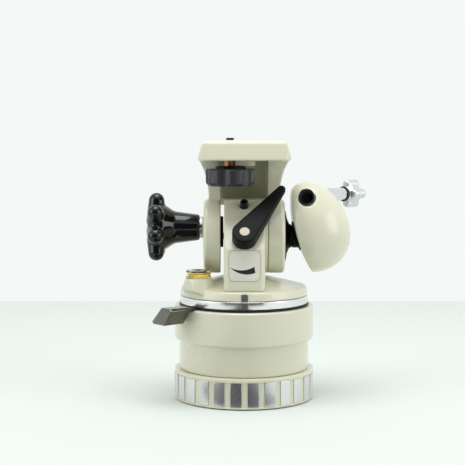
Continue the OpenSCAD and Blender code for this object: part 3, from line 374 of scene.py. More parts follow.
def rounded(corners: Sequence[Corner], closed: bool = True) -> list[tuple[float, float]]:
    """Rounds the corners of an outline.

    Args:
        corners: Two coordinates and a corner radius each, in mm.
        closed: Whether the last corner joins the first.

    Returns:
        Points of the rounded outline, in mm.
    """
    points: list[tuple[float, float]] = []
    count = len(corners)
    for index, (x, y, radius) in enumerate(corners):
        here = Vector((x, y))
        if radius <= 0 or (not closed and index in (0, count - 1)):
            points.append((x, y))
            continue
        back = Vector(corners[index - 1][:2]) - here
        ahead = Vector(corners[(index + 1) % count][:2]) - here
        half = back.angle(ahead) / 2
        # neighbouring roundings never meet on a short side
        trim = min(radius / math.tan(half), 0.48 * back.length, 0.48 * ahead.length)
        back.normalize()
        ahead.normalize()
        centre = here + (back + ahead).normalized() * (trim / math.cos(half))
        first = here + back * trim - centre
        last = here + ahead * trim - centre
        start = math.atan2(first.y, first.x)
        sweep = (math.atan2(last.y, last.x) - start + math.pi) % math.tau - math.pi
        for step in range(CORNER_STEPS + 1):
            angle = start + sweep * step / CORNER_STEPS
            points.append((centre.x + first.length * math.cos(angle),
                           centre.y + first.length * math.sin(angle)))
    return points


def arc(centre: tuple[float, float], radius: float, start: float, end: float, steps: int) -> list[Corner]:
    """Points of an arc as unrounded corners.

    Args:
        centre: Centre of the arc, in mm.
        radius: Its radius, in mm.
        start: First angle, in degrees.
        end: Last angle, in degrees.
        steps: Pieces of the arc.

    Returns:
        Corners along the arc.
    """
    angles = [math.radians(start + (end - start) * i / steps) for i in range(steps + 1)]
    return [(centre[0] + radius * math.cos(a), centre[1] + radius * math.sin(a), 0.0) for a in angles]


def deselect() -> None:
    """Leaves edit mode and deselects everything."""
    if bpy.context.mode != "OBJECT":
        bpy.ops.object.mode_set(mode="OBJECT")
    bpy.ops.object.select_all(action="DESELECT")


def pick(piece: Piece) -> None:
    """Makes a piece the only selected and the active object.

    Args:
        piece: The piece.
    """
    deselect()
    piece.select_set(True)
    bpy.context.view_layer.objects.active = piece


def drawn(name: str, points: Sequence[Point], closed: bool) -> Piece:
    """Draws a chain of edges by extruding a vertex from point to point.

    Args:
        name: Name of the piece.
        points: Points of the chain, in mm.
        closed: Whether the last point joins the first.

    Returns:
        The piece, in edit mode with everything selected.
    """
    deselect()
    bpy.ops.mesh.primitive_plane_add(size=MM, location=(0, 0, 0))
    piece = bpy.context.object
    piece.name = piece.data.name = name
    bpy.ops.object.mode_set(mode="EDIT")
    bpy.ops.mesh.select_mode(type="VERT")
    bpy.ops.mesh.select_all(action="SELECT")
    bpy.ops.mesh.merge(type="CENTER")
    places = [Vector(p) * MM for p in points]
    bpy.ops.transform.translate(value=places[0])
    for here, there in zip(places, places[1:]):
        bpy.ops.mesh.extrude_region_move(TRANSFORM_OT_translate={"value": there - here})
    if closed:
        bpy.ops.object.mode_set(mode="OBJECT")
        for vertex in piece.data.vertices:
            vertex.select = vertex.index in (0, len(places) - 1)
        bpy.ops.object.mode_set(mode="EDIT")
        bpy.ops.mesh.edge_face_add()
    bpy.ops.mesh.select_all(action="SELECT")
    return piece


def closed_up(piece: Piece) -> Piece:
    """Merges doubles, turns the faces outwards and leaves edit mode.

    Args:
        piece: Piece that is in edit mode.

    Returns:
        The piece.
    """
    bpy.ops.mesh.select_all(action="SELECT")
    bpy.ops.mesh.remove_doubles(threshold=DOUBLE_MM * MM)
    bpy.ops.mesh.normals_make_consistent(inside=False)
    bpy.ops.object.mode_set(mode="OBJECT")
    return piece


def spun(name: str, corners: Sequence[Corner], steps: int, sweep: float = 360.0) -> Piece:
    """Spins an outline about Z; one that starts on the axis stays open there.

    Args:
        name: Name of the piece.
        corners: Radius, height and rounding of each corner, in mm.
        steps: Pieces of the turn.
        sweep: Angle of the turn from +X, in degrees.

    Returns:
        The piece, smooth, with its axis on Z.
    """
    closed = corners[0][0] > 0
    piece = drawn(name, [(r, 0.0, z) for r, z in rounded(corners, closed)], closed)
    if sweep < 360:
        bpy.ops.mesh.edge_face_add()
        bpy.ops.mesh.select_all(action="SELECT")
    bpy.ops.mesh.spin(steps=steps, angle=-math.radians(sweep), center=(0, 0, 0), axis=(0, 0, 1))
    return smooth(closed_up(piece))


def prism(name: str, corners: Sequence[Corner], depth: float) -> Piece:
    """Fills an outline in X and Y and extrudes it up.

    Args:
        name: Name of the piece.
        corners: Outline with corner radii, in mm.
        depth: Height of the prism, in mm.

    Returns:
        The piece, from Z = 0 to the depth.
    """
    piece = drawn(name, [(x, y, 0.0) for x, y in rounded(corners)], True)
    bpy.ops.mesh.edge_face_add()
    bpy.ops.mesh.extrude_region_move(TRANSFORM_OT_translate={"value": (0, 0, depth * MM)})
    return closed_up(piece)


def smooth(piece: Piece, angle: float = 32.0) -> Piece:
    """Shades a piece smooth.

    Args:
        piece: The piece.
        angle: Edges sharper than this stay crisp, in degrees.

    Returns:
        The piece.
    """
    pick(piece)
    bpy.ops.object.shade_smooth_by_angle(angle=math.radians(angle))
    return piece


def applied(piece: Piece, kind: str, **settings) -> None:
    """Adds a modifier, sets it and applies it.

    Args:
        piece: Piece that is changed.
        kind: Blender's name of the modifier type.
        **settings: Attributes of the modifier.
    """
    pick(piece)
    modifier = piece.modifiers.new(kind.lower(), kind)
    for key, value in settings.items():
        setattr(modifier, key, value)
    bpy.ops.object.modifier_apply(modifier=modifier.name)


def eased(piece: Piece, width: float, segments: int = 3, angle: float = 30.0) -> Piece:
    """Rounds the sharp edges of a piece.

    Args:
        piece: Piece that is changed.
        width: Width of the rounding, in mm.
        segments: Pieces of the rounding.
        angle: Edges sharper than this are rounded, in degrees.

    Returns:
        The piece, shaded smooth.
    """
    applied(piece, "BEVEL", width=width * MM, segments=segments, limit_method="ANGLE",
            angle_limit=math.radians(angle), use_clamp_overlap=False)
    return smooth(piece)


def joined(first: Piece, others: Sequence[Piece]) -> Piece:
    """Joins pieces into the first one.

    Args:
        first: Piece that stays.
        others: Pieces that become part of it.

    Returns:
        The first piece.
    """
    pick(first)
    for other in others:
        other.select_set(True)
    bpy.ops.object.join()
    return first


def carved(piece: Piece, tool: Piece) -> None:
    """Cuts a tool's shape out of a piece and removes the tool."""
    applied(piece, "BOOLEAN", object=tool, operation="DIFFERENCE", solver="EXACT")
    bpy.data.objects.remove(tool)


def melted(piece: Piece, voxel: float, rounds: int) -> Piece:
    """Melts a piece's forms into one skin with soft edges and hollows.

    Args:
        piece: Piece of one or more overlapping forms.
        voxel: Cell of the new skin, in mm.
        rounds: Rounds of smoothing.

    Returns:
        The piece.
    """
    applied(piece, "REMESH", mode="VOXEL", voxel_size=voxel * MM)
    applied(piece, "SMOOTH", factor=0.5, iterations=rounds)
    return smooth(piece, 180.0)


def axes(origin: Point, x: Point, y: Point, z: Point) -> Matrix:
    """Frame from an origin in mm and three directions.

    Args:
        origin: Origin, in mm.
        x: Direction of X.
        y: Direction of Y.
        z: Direction of Z.

    Returns:
        The frame as a matrix, in metres.
    """
    turn = Matrix((Vector(x).normalized(), Vector(y).normalized(), Vector(z).normalized())).transposed()
    return shift(*origin) @ turn.to_4x4()


def shift(x: float, y: float, z: float) -> Matrix:
    """Move by three lengths in mm."""
    return Matrix.Translation(Vector((x, y, z)) * MM)


def turn_z(angle: float) -> Matrix:
    """Turn about Z by an angle in degrees."""
    return Matrix.Rotation(math.radians(angle), 4, "Z")


def settled(piece: Piece, place: Matrix) -> Piece:
    """Puts a piece in its place, with the place in its mesh.

    Args:
        piece: Piece that is moved.
        place: Its frame, in metres.

    Returns:
        The piece, with its object at the origin.
    """
    pick(piece)
    piece.matrix_world = place
    bpy.ops.object.transform_apply(location=True, rotation=True, scale=True)
    return piece


def front_segment(name: str, corners: Sequence[Corner], width: float, radius: float) -> Piece:
    """Spins a short segment whose middle faces the operator.

    Args:
        name: Name of the piece.
        corners: Radius, height and rounding of each corner, in mm.
        width: Length round the pan axis, in mm.
        radius: Radius at which that length holds, in mm.

    Returns:
        The segment.
    """
    sweep = math.degrees(width / radius)
    return settled(spun(name, corners, steps=6, sweep=sweep), turn_z(-90 - sweep / 2))


def turned_copy(piece: Piece, name: str, angle: float) -> Piece:
    """Copies a piece, with a mesh of its own, turned about the pan axis.

    Args:
        piece: Piece that is copied.
        name: Name of the copy.
        angle: Turn, in degrees.

    Returns:
        The copy.
    """
    copy = bpy.data.objects.new(name, piece.data.copy())
    bpy.context.scene.collection.objects.link(copy)
    return settled(copy, turn_z(angle))


def cad_copy(name: str, source: str) -> Piece:
    """Copies a CAD node's mesh and makes it one closed skin.

    Args:
        name: Name of the new piece.
        source: Name of the node.

    Returns:
        The copy.
    """
    piece = bpy.data.objects.new(name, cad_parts[source].data.copy())
    piece.data.name = name
    bpy.context.scene.collection.objects.link(piece)
    pick(piece)
    bpy.ops.object.mode_set(mode="EDIT")
    bpy.ops.mesh.select_all(action="SELECT")
    bpy.ops.mesh.remove_doubles(threshold=DOUBLE_MM * MM)
    bpy.ops.mesh.dissolve_limited(angle_limit=math.radians(FLAT_ANGLE))
    bpy.ops.object.mode_set(mode="OBJECT")
    return piece


def adopt(piece: Piece, body: str, slot: str, finish: Look, *nodes: str) -> None:
    """Gives a finished piece its finish, its body and the nodes that it stands for.

    Args:
        piece: Finished piece.
        body: Body that it moves with.
        slot: Not used.
        finish: Its finish.
        *nodes: CAD nodes that it replaces.
    """
    piece.data.materials.clear()
    piece.data.materials.append(finish.material())
    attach(piece, body)
    if nodes:
        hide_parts(*nodes)
    LOG.info("%s on %s: %d faces, %s", piece.name, body, len(piece.data.polygons), finish.name)


def dress(finish: Look, *nodes: str) -> None:
    """Gives CAD nodes that keep their shape a finish.

    Args:
        finish: The finish.
        *nodes: Names of the nodes.
    """
    for name in nodes:
        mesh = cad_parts[name].data
        mesh.materials.clear()
        mesh.materials.append(finish.material())
        LOG.info("%s: %s", name, finish.name)


@dataclass
class Base:
    """Foot with its grip ring, the neck and drum, and the scale ring."""

    housing_outline: Outline = (
        (30, 3, 0), (42, 3, 0.3), (42, 21.9, 0), (46.5, 21.9, 0.5), (46.5, 43.3, 0.9), (50, 43.3, 1.3),
        (50, 66.1, 0.5), (49.1, 67, 0.5), (36, 67, 0), (36, 68.8, 0), (34, 68.8, 0), (34, 73.9, 0),
        (30, 73.9, 0), (30, 46, 0), (11, 46, 0), (11, 24, 0), (30, 24, 0),
    )
    grip_outline: Outline = (
        (45.3, 0.6, 0), (50, 0.6, 0.5), (50, 1.6, 0.2), (49.3, 1.9, 0.2), (49.3, 18.8, 0.2), (50, 19.1, 0.2),
        (50, 21.6, 0.7), (42.3, 21.6, 0), (42.3, 3.3, 0), (45.3, 3.3, 0),
    )
    land_outline: Outline = ((48.9, 1.9, 0), (49.98, 1.9, 0), (49.98, 18.8, 0), (48.9, 18.8, 0))
    scale_outline: Outline = ((34, 68.8, 0), (46, 68.8, 0.35), (46, 74.2, 0.5), (34, 74.2, 0))
    zero_outline: Outline = ((45.4, 69.2, 0), (46.03, 69.2, 0), (46.03, 73.9, 0), (45.4, 73.9, 0))
    lands: int = 26
    land_w: float = 7.85
    land_edge: float = 0.18
    grip_r: float = 50.0
    scale_r: float = 46.0
    mark_w: float = 4.2

    def housing(self) -> Piece:
        """Spins the neck and drum with softened edges."""
        return spun("neck_and_drum", self.housing_outline, LARGE_TURN)

    def grip(self) -> Piece:
        """Spins the grip's painted ring, sunk between its two lips."""
        return spun("grip_painted_ring", self.grip_outline, LARGE_TURN)

    def land_band(self) -> Piece:
        """Spins one land and copies it round the grip.

        Returns:
            All lands as one piece.
        """
        land = front_segment("grip_lands", self.land_outline, self.land_w, self.grip_r)
        pitch = 360 / self.lands
        settled(eased(land, self.land_edge, segments=2), turn_z(pitch / 2))
        return joined(land, [turned_copy(land, f"grip_land_{i}", i * pitch) for i in range(1, self.lands)])

    def scale_ring(self) -> Piece:
        """Spins the bright ring under the cap."""
        return spun("scale_ring_bright", self.scale_outline, LARGE_TURN)

    def zero_mark(self) -> Piece:
        """Spins the mark's filling, a hair proud of the scale ring."""
        return front_segment("zero_mark_filling", self.zero_outline, self.mark_w, self.scale_r)

    def build(self) -> None:
        """Builds and dresses the base."""
        adopt(self.housing(), "base", "paint", ENAMEL, "base_housing")
        adopt(self.grip(), "grip", "paint", ENAMEL, "grip_ring")
        adopt(self.land_band(), "grip", "turned_aluminium", BRUSHED_LAND)
        adopt(self.scale_ring(), "base", "turned_aluminium", TURNED_ALUMINIUM, "scale_ring")
        adopt(self.zero_mark(), "base", "mark", MARK_PAINT, "zero_mark")
        dress(BLASTED_ALUMINIUM, "base_plate")
        dress(STEEL, "tripod_insert", "base_screws")
        dress(BRONZE, "pan_bushes", "pan_drag_stators")


@dataclass
class PanLock:
    """Brake ring in the seam and its leaning lever block."""

    angle: float = 220.0
    start: float = 53.0
    length: float = 17.0
    width: float = 11.7
    height: float = 12.3
    lean: float = 8.5
    spread: float = 2.5
    top: float = 69.8
    bevel: float = 1.6
    edge: float = 0.55
    edge_angle: float = 40.0

    def block(self) -> Piece:
        """Extrudes the lever's leaning section outwards and rounds it.

        Returns:
            The block.
        """
        half, low = self.width / 2, self.top - self.height
        left = half + self.lean + self.spread
        block = prism("pan_lock_block", [
            (-half, self.top, 0.5), (half - self.bevel, self.top, 0.4), (half, self.top - self.bevel, 0.4),
            (half - self.lean, low, 0.8), (self.bevel - left, low, 0.4), (-left, low + self.bevel, 0.4),
        ], self.length)
        eased(block, self.edge, angle=self.edge_angle)
        return settled(block, turn_z(self.angle) @ axes((self.start, 0, 0), (0, 1, 0), (0, 0, 1), (1, 0, 0)))

    def build(self) -> None:
        """Builds and dresses the pan lock."""
        adopt(self.block(), "pan_lock", "black_gloss", BLACK_CHROME, "pan_lock_lever")
        dress(BLACK_LACQUER, "pan_brake_ring")


@dataclass
class PanCap:
    """Low cone over the pan bearing, with its index and circular level.

    The level's outlines have their heights from its seat on the cap.
    """

    index_outline: Outline = ((45.2, 74.9, 0), (45.98, 74.9, 0), (45.5, 79.2, 0), (44.8, 79.2, 0))
    vial_outline: Outline = ((0, 0, 0), (8.75, 0, 0.3), (8.75, 5.6, 0.8), (0, 5.6, 0))
    hollow_outline: Outline = ((0, 0.8, 0), (7.35, 0.8, 0.3), (7.35, 4.2, 0.3), (0, 4.2, 0))
    spirit_outline: Outline = ((0, 0.83, 0), (7.32, 0.83, 0.3), (7.32, 3.1, 0.3), (0, 3.1, 0))
    groove_outline: Outline = ((2.13, 4.38, 0), (4.87, 4.38, 0), (4.87, 6.6, 0), (2.13, 6.6, 0))
    target_outline: Outline = ((2.15, 4.4, 0), (4.85, 4.4, 0), (4.85, 5.62, 0), (2.15, 5.62, 0))
    level_at: Point = (-32.1, -23.823, 88.6)
    level_steps: int = 72
    rim_r: float = 46.0
    mark_w: float = 4.2

    def cap(self) -> Piece:
        """Copies the cap and melts its rim, cone and level pad into one casting."""
        return melted(cad_copy("pan_cap_casting", "pan_cap"), voxel=0.5, rounds=8)

    def index(self) -> Piece:
        """Spins the index's filling on the rim's draft."""
        return front_segment("pan_index_filling", self.index_outline, self.mark_w, self.rim_r)

    def vial(self) -> Piece:
        """Spins the clear vial and cuts its hollow and the target's groove.

        Returns:
            The vial.
        """
        vial = spun("level_vial_acrylic", self.vial_outline, self.level_steps)
        carved(vial, spun("level_hollow", self.hollow_outline, self.level_steps))
        carved(vial, spun("target_groove", self.groove_outline, self.level_steps))
        return settled(smooth(vial), shift(*self.level_at))

    def spirit(self) -> Piece:
        """Spins the dyed spirit, which leaves its bubble's room in the hollow."""
        spirit = spun("level_spirit", self.spirit_outline, self.level_steps)
        return settled(spirit, shift(*self.level_at))

    def target(self) -> Piece:
        """Spins the dark ring that is let into the vial's top."""
        ring = spun("level_target_ring", self.target_outline, self.level_steps)
        return settled(ring, shift(*self.level_at))

    def build(self) -> None:
        """Builds and dresses the cap."""
        adopt(self.cap(), "pan_head", "paint", ENAMEL, "pan_cap")
        adopt(self.index(), "pan_head", "mark", MARK_PAINT, "pan_index")
        adopt(self.vial(), "pan_head", "clear_vial", ACRYLIC, "level_vial")
        adopt(self.spirit(), "pan_head", "yellow_liquid", SPIRIT, "level_liquid")
        adopt(self.target(), "pan_head", "black_gloss", SCREEN_PRINT, "level_target")
        dress(STEEL, "pan_spindle", "pan_drag_rotors", "spindle_nut", "pillar_screws")
        dress(BRONZE, "thrust_washer")


@dataclass
class Pillar:
    """Pillar of the tilt axis with its label, stop screw and drag cover."""

    stop_outline: Outline = (
        (0, -7.5, 0), (2.6, -7.5, 0), (2.6, -0.2, 0), (2.8, 0, 0), (2.8, 1.3, 0.2), (2.3, 1.6, 0.1),
        (2.3, 2.0, 0.1), (2.8, 2.3, 0.2), (2.8, 4.5, 0.5), (0, 4.5, 0),
    )
    stop_up: float = 6.0
    socket_r: float = 1.5
    socket_len: float = 4.0
    socket_z: float = 4.8
    tilt_z: float = 116.2
    slope: float = 50.0
    slope_d: float = 28.188
    front: float = 42.0
    label_top: float = 109.3
    label_size: float = 21.0
    label_corner: float = 3.5
    label_t: float = 0.3
    label_edge: float = 0.08
    film_margin: float = 0.3
    film_t: float = 0.12
    wedge_upper: Arc = ((-2.06, 112.22), 16.32, 241.0, 302.5)
    wedge_lower: Arc = ((1.63, 109.42), 16.32, 290.7, 225.5)
    wedge_steps: int = 14
    print_t: float = 0.05

    def on_slope(self, up: float, out: float) -> Matrix:
        """Frame on the pillar's slope.

        Args:
            up: Distance up the slope from the tilt axis's foot, in mm.
            out: Distance above the slope, in mm.

        Returns:
            Frame whose Z stands square to the slope and whose Y runs up it.
        """
        lean = Matrix.Rotation(math.radians(self.slope), 4, "X")
        return shift(0, 0, self.tilt_z) @ lean @ shift(0, up, self.slope_d + out)

    def on_front(self, out: float) -> Matrix:
        """Frame on the pillar's front, with Y up and Z towards the operator."""
        return axes((0, -self.front - out, 0), (1, 0, 0), (0, 0, 1), (0, -1, 0))

    def casting(self) -> Piece:
        """Copies the pillar and melts its edges round."""
        return melted(cad_copy("pillar_casting", "pillar"), voxel=0.55, rounds=10)

    def plate(self, name: str, margin: float, thick: float) -> Piece:
        """Extrudes a square with round corners, at the label's height.

        Args:
            name: Name of the piece.
            margin: Width past the label on each side, in mm.
            thick: Thickness, in mm.

        Returns:
            The plate, still lying flat.
        """
        half, corner = self.label_size / 2 + margin, self.label_corner + margin
        low, top = self.label_top - self.label_size - margin, self.label_top + margin
        places = ((-half, low), (half, low), (half, top), (-half, top))
        return prism(name, [(x, y, corner) for x, y in places], thick)

    def label(self) -> Piece:
        """Makes the foil label on the pillar's front."""
        plate = self.plate("drag_label_foil", 0.0, self.label_t)
        return settled(eased(plate, self.label_edge, segments=2), self.on_front(0.0))

    def film(self) -> Piece:
        """Makes the film that shows as a grey line round the label."""
        return settled(self.plate("drag_label_film", self.film_margin, self.film_t), self.on_front(0.0))

    def wedge(self) -> Piece:
        """Extrudes the tapered crescent that shows the drag growing to the right."""
        outline = arc(*self.wedge_upper, self.wedge_steps) + arc(*self.wedge_lower, self.wedge_steps)
        return settled(prism("drag_wedge_print", outline, self.print_t), self.on_front(self.label_t))

    def stop_screw(self) -> Piece:
        """Spins the stop screw's grooved head and sinks its hexagon socket.

        Returns:
            The screw.
        """
        screw = spun("stop_screw_head", self.stop_outline, steps=48)
        deselect()
        bpy.ops.mesh.primitive_cylinder_add(vertices=6, radius=self.socket_r * MM, depth=self.socket_len * MM,
                                            location=(0, 0, self.socket_z * MM))
        carved(screw, bpy.context.object)
        return settled(smooth(screw), self.on_slope(self.stop_up, 0.0))

    def cover(self) -> Piece:
        """Copies the drag cover and breaks its edges."""
        return eased(cad_copy("tilt_drag_cover_disc", "tilt_drag_cover"), width=0.35, segments=2)

    def build(self) -> None:
        """Builds and dresses the pillar."""
        adopt(self.casting(), "pan_head", "paint", ENAMEL, "pillar")
        adopt(self.label(), "pan_head", "label", FOIL, "drag_label")
        adopt(self.film(), "pan_head", "label", LABEL_FILM)
        adopt(self.wedge(), "pan_head", "label", SCREEN_PRINT)
        adopt(self.stop_screw(), "pan_head", "black_metal", BLACKED_STEEL, "stop_screw")
        adopt(self.cover(), "pan_head", "paint", ENAMEL, "tilt_drag_cover")
        dress(STEEL, "tilt_axle", "drag_cover_screws", "tilt_drag_stators")


@dataclass
class DragLever:
    """Tapered lever on the pillar's slope, with its pale pivot cap."""

    pillar: Pillar
    seat_outline: Outline = ((0, 9, 0), (3.45, 9, 0), (3.45, 12, 0), (0, 12, 0))
    length: float = 45.4
    boss_r: float = 8.6
    tip_r: float = 2.8
    thick: float = 10.0
    tip_thick: float = 4.4
    edge: float = 0.9
    angle: float = 35.0
    drop: float = 23.6
    lift: float = 0.4
    cap_r: float = 3.4
    cap_sunk: float = 0.95
    cap_proud: float = 0.05
    crown: float = 0.35
    crown_steps: int = 6

    def lever(self) -> Piece:
        """Extrudes the lever's outline, thins its tip from below, rounds it and sinks the cap's seat.

        Returns:
            The lever.
        """
        lean = math.degrees(math.asin((self.boss_r - self.tip_r) / self.length))
        outline = arc((0, 0), self.boss_r, 180 - lean, 360 + lean, steps=40)
        outline += arc((0, self.length), self.tip_r, lean, 180 - lean, steps=20)
        lever = prism("tilt_drag_lever", outline, self.thick)
        rise = (self.thick - self.tip_thick) * MM
        for vertex in lever.data.vertices:
            if vertex.co.z < self.thick * MM / 2:
                vertex.co.z += rise * min(1.0, max(0.0, vertex.co.y / (self.length * MM)))
        eased(lever, self.edge, segments=4)
        carved(lever, spun("lever_cap_seat", self.seat_outline, steps=48))
        return settled(smooth(lever), self.pillar.on_slope(-self.drop, self.lift) @ turn_z(-self.angle))

    def cap(self) -> Piece:
        """Spins the pale cap, slightly crowned.

        Returns:
            The cap.
        """
        outline = [(0, -self.cap_sunk, 0), (self.cap_r, -self.cap_sunk, 0)]
        for step in range(self.crown_steps + 1):
            share = 1 - step / self.crown_steps
            outline.append((self.cap_r * share, self.crown * (1 - share ** 2) + self.cap_proud, 0))
        place = self.pillar.on_slope(-self.drop, self.lift + self.thick)
        return settled(spun("lever_pivot_cap", outline, steps=48), place)

    def build(self) -> None:
        """Builds and dresses the drag lever."""
        adopt(self.lever(), "drag_lever", "black_matte", BLACK_LACQUER, "tilt_lever")
        adopt(self.cap(), "drag_lever", "ivory", ACETAL, "lever_cap")
        dress(STEEL, "lever_spindle")


@dataclass
class Yoke:
    """Tilting casting with the camera platform, and what is fixed to it."""

    rosette_outline: Outline = (
        (0, 0, 0), (18, 0, 0.2), (18, 1, 0.4), (12.5, 2, 5), (8.4, 3.8, 2), (8.4, 5.2, 0.3), (0, 5.2, 0),
    )
    tilt_z: float = 116.2
    cheek_out: float = 28.8

    def casting(self) -> Piece:
        """Copies the yoke and melts its edges and corners round."""
        return melted(cad_copy("tilt_yoke_casting", "tilt_yoke"), voxel=0.68, rounds=8)

    def rosette(self) -> Piece:
        """Spins the black cone and hub on the right cheek."""
        place = axes((self.cheek_out, 0, self.tilt_z), (0, 0, -1), (0, 1, 0), (1, 0, 0))
        return settled(spun("handle_rosette_cone", self.rosette_outline, steps=96), place)

    def build(self) -> None:
        """Builds and dresses the yoke."""
        adopt(self.casting(), "yoke", "paint", ENAMEL, "tilt_yoke")
        adopt(self.rosette(), "yoke", "black_metal", BLACK_LACQUER, "handle_rosette")
        dress(FIBRE, "friction_plate")
        dress(BRONZE, "axle_bush", "tilt_drag_rotor")
        dress(STEEL, "rosette_screws")


@dataclass
class BrakeKnob:
    """Star knob of the tilt brake, with its bright collar."""

    stem_outline: Outline = (
        (0, 0, 0), (9.2, 0, 0.6), (11.6, 18, 8), (17, 26, 3), (17, 33, 3), (11, 36.9, 3), (0, 36.8, 0),
    )
    collar_outline: Outline = ((2.98, 0, 0), (7.9, 0, 0.5), (7.9, 2.8, 0.5), (2.98, 2.8, 0))
    origin: Point = (-31.9, 0.0, 122.4)
    star_d: float = 50.0
    lobe_r: float = 5.7
    lobe_z: float = 30.8
    arm_r: float = 7.3
    arm_in: float = 8.0
    lobes: int = 7
    first_lobe: float = -2.0

    def star(self) -> Piece:
        """Melts stem, hub and radial lobes into one polished star.

        Returns:
            The star.
        """
        star = spun("brake_star_knob", self.stem_outline, steps=96)
        out = axes((0, 0, self.lobe_z), (0, 0, -1), (0, 1, 0), (1, 0, 0))
        outline = [(0, self.arm_in, 0), (self.arm_r, self.arm_in, 1)]
        outline += arc((0, self.star_d / 2 - self.lobe_r), self.lobe_r, 0, 90, steps=10)
        lobes = []
        for index in range(self.lobes):
            lobe = spun(f"star_lobe_{index}", outline, steps=48)
            lobes.append(settled(lobe, turn_z(self.first_lobe - 360 * index / self.lobes) @ out))
        melted(joined(star, lobes), voxel=0.5, rounds=16)
        return settled(star, axes(self.origin, (0, 0, 1), (0, 1, 0), (-1, 0, 0)))

    def collar(self) -> Piece:
        """Spins the collar between knob and cheek."""
        place = axes(self.origin, (0, 0, -1), (0, 1, 0), (1, 0, 0))
        return settled(spun("brake_collar_bright", self.collar_outline, steps=72), place)

    def build(self) -> None:
        """Builds and dresses the brake."""
        adopt(self.star(), "brake", "black_gloss", BAKELITE, "brake_knob")
        adopt(self.collar(), "brake", "bright_steel", CHROME, "brake_collar")
        dress(STEEL, "brake_screw")


@dataclass
class PanBarHolder:
    """Egg-shaped holder of two shells, its hub and the pan bar's socket."""

    mouth: Point = (43.9, -17.0, 145.0)
    bush_len: float = 26.0
    bush_r: float = 5.5
    bush_edge: float = 0.12
    bore_r: float = 4.0
    teeth: int = 16
    tooth_gap: float = 1.14

    def shell(self, name: str, source: str) -> Piece:
        """Copies a shell and melts its edges round."""
        return melted(cad_copy(name, source), voxel=0.5, rounds=7)

    def hub(self) -> Piece:
        """Copies the hub with its flange and melts its edges round."""
        return melted(cad_copy("holder_hub_flange", "holder_hub"), voxel=0.3, rounds=20)

    def bush(self) -> Piece:
        """Extrudes the socket's bush with a toothed bore.

        Returns:
            The bush.
        """
        deselect()
        # two points on each tooth and two in each gap
        count, inward = 4 * self.teeth, self.bore_r / self.bush_r
        bpy.ops.mesh.primitive_circle_add(vertices=count, radius=self.bush_r * MM, fill_type="NOTHING")
        bush = bpy.context.object
        bush.name = bush.data.name = "bar_bush_toothed"
        bpy.ops.object.mode_set(mode="EDIT")
        bpy.ops.mesh.select_all(action="SELECT")
        bpy.ops.mesh.extrude_edges_move()
        bpy.ops.transform.resize(value=(inward, inward, 1))
        bpy.ops.object.mode_set(mode="OBJECT")
        between = (self.bore_r + self.bush_r) / 2 * MM
        for vertex in [v for v in bush.data.vertices if v.co.length < between]:
            if round(math.atan2(vertex.co.y, vertex.co.x) / math.tau * count) % 4 >= 2:
                vertex.co *= self.tooth_gap
        bpy.ops.object.mode_set(mode="EDIT")
        bpy.ops.mesh.select_all(action="SELECT")
        bpy.ops.mesh.extrude_region_move(TRANSFORM_OT_translate={"value": (0, 0, self.bush_len * MM)})
        eased(closed_up(bush), self.bush_edge, segments=2, angle=50.0)
        return settled(bush, axes(self.mouth, (1, 0, 0), (0, 0, -1), (0, 1, 0)))

    def build(self) -> None:
        """Builds and dresses the holder."""
        adopt(self.shell("holder_front_shell", "holder_front"), "holder", "paint", ENAMEL, "holder_front")
        adopt(self.shell("holder_rear_shell", "holder_rear"), "holder", "paint", ENAMEL, "holder_rear")
        adopt(self.hub(), "holder", "black_metal", COVERED_LACQUER, "holder_hub")
        adopt(self.bush(), "holder", "black_metal", BLACKED_STEEL, "bar_bush")
        dress(STEEL, "holder_bolt", "holder_screws")


@dataclass
class ClampScrew:
    """Screw that pinches the pan bar, with its four-lobed knob; heights run outwards from the bar's axis."""

    shaft_outline: Outline = (
        (0, 8.08, 0), (2, 8.08, 0.4), (2, 13.38, 0), (4.8, 13.38, 0.3), (4.8, 44, 0), (0, 44, 0),
    )
    ring_outline: Outline = ((4.8, 42, 0), (5.6, 42, 0.5), (5.6, 44, 0.5), (4.8, 44, 0))
    core_outline: Outline = (
        (0, 44, 0), (4.8, 44, 0.4), (7.2, 47.5, 1.5), (7.4, 55.6, 2), (4, 57.4, 1.5), (0, 57.6, 0),
    )
    rib_outline: Outline = ((0, 45, 0), (3.2, 45, 1.6), (3.7, 58, 3), (0, 58, 0))
    rib_out: float = 6.8
    ribs: int = 4
    origin: Point = (43.9, 2.0, 145.0)

    def place(self) -> Matrix:
        """Frame on the screw's axis, with Z pointing outwards."""
        return axes(self.origin, (0, 0, -1), (-1, 1, 0), (1, 1, 0))

    def shaft(self) -> Piece:
        """Spins the bright shaft with its tip."""
        return settled(spun("clamp_shaft_bright", self.shaft_outline, steps=72), self.place())

    def ring(self) -> Piece:
        """Spins the black ring before the knob."""
        return settled(spun("clamp_ring_black", self.ring_outline, steps=72), self.place())

    def knob(self) -> Piece:
        """Melts a core and its ribs into the knob.

        Returns:
            The knob.
        """
        core = spun("clamp_knob_lobed", self.core_outline, steps=64)
        ribs = []
        for index in range(self.ribs):
            rib = spun(f"clamp_rib_{index}", self.rib_outline, steps=40)
            ribs.append(settled(rib, turn_z(360 * index / self.ribs) @ shift(self.rib_out, 0, 0)))
        return settled(melted(joined(core, ribs), voxel=0.35, rounds=10), self.place())

    def build(self) -> None:
        """Builds and dresses the clamp screw."""
        adopt(self.shaft(), "clamp", "bright_steel", CHROME, "clamp_shaft")
        adopt(self.ring(), "clamp", "black_rubber", FIBRE, "clamp_ring")
        adopt(self.knob(), "clamp", "turned_aluminium", TUMBLED_ZINC, "clamp_knob")


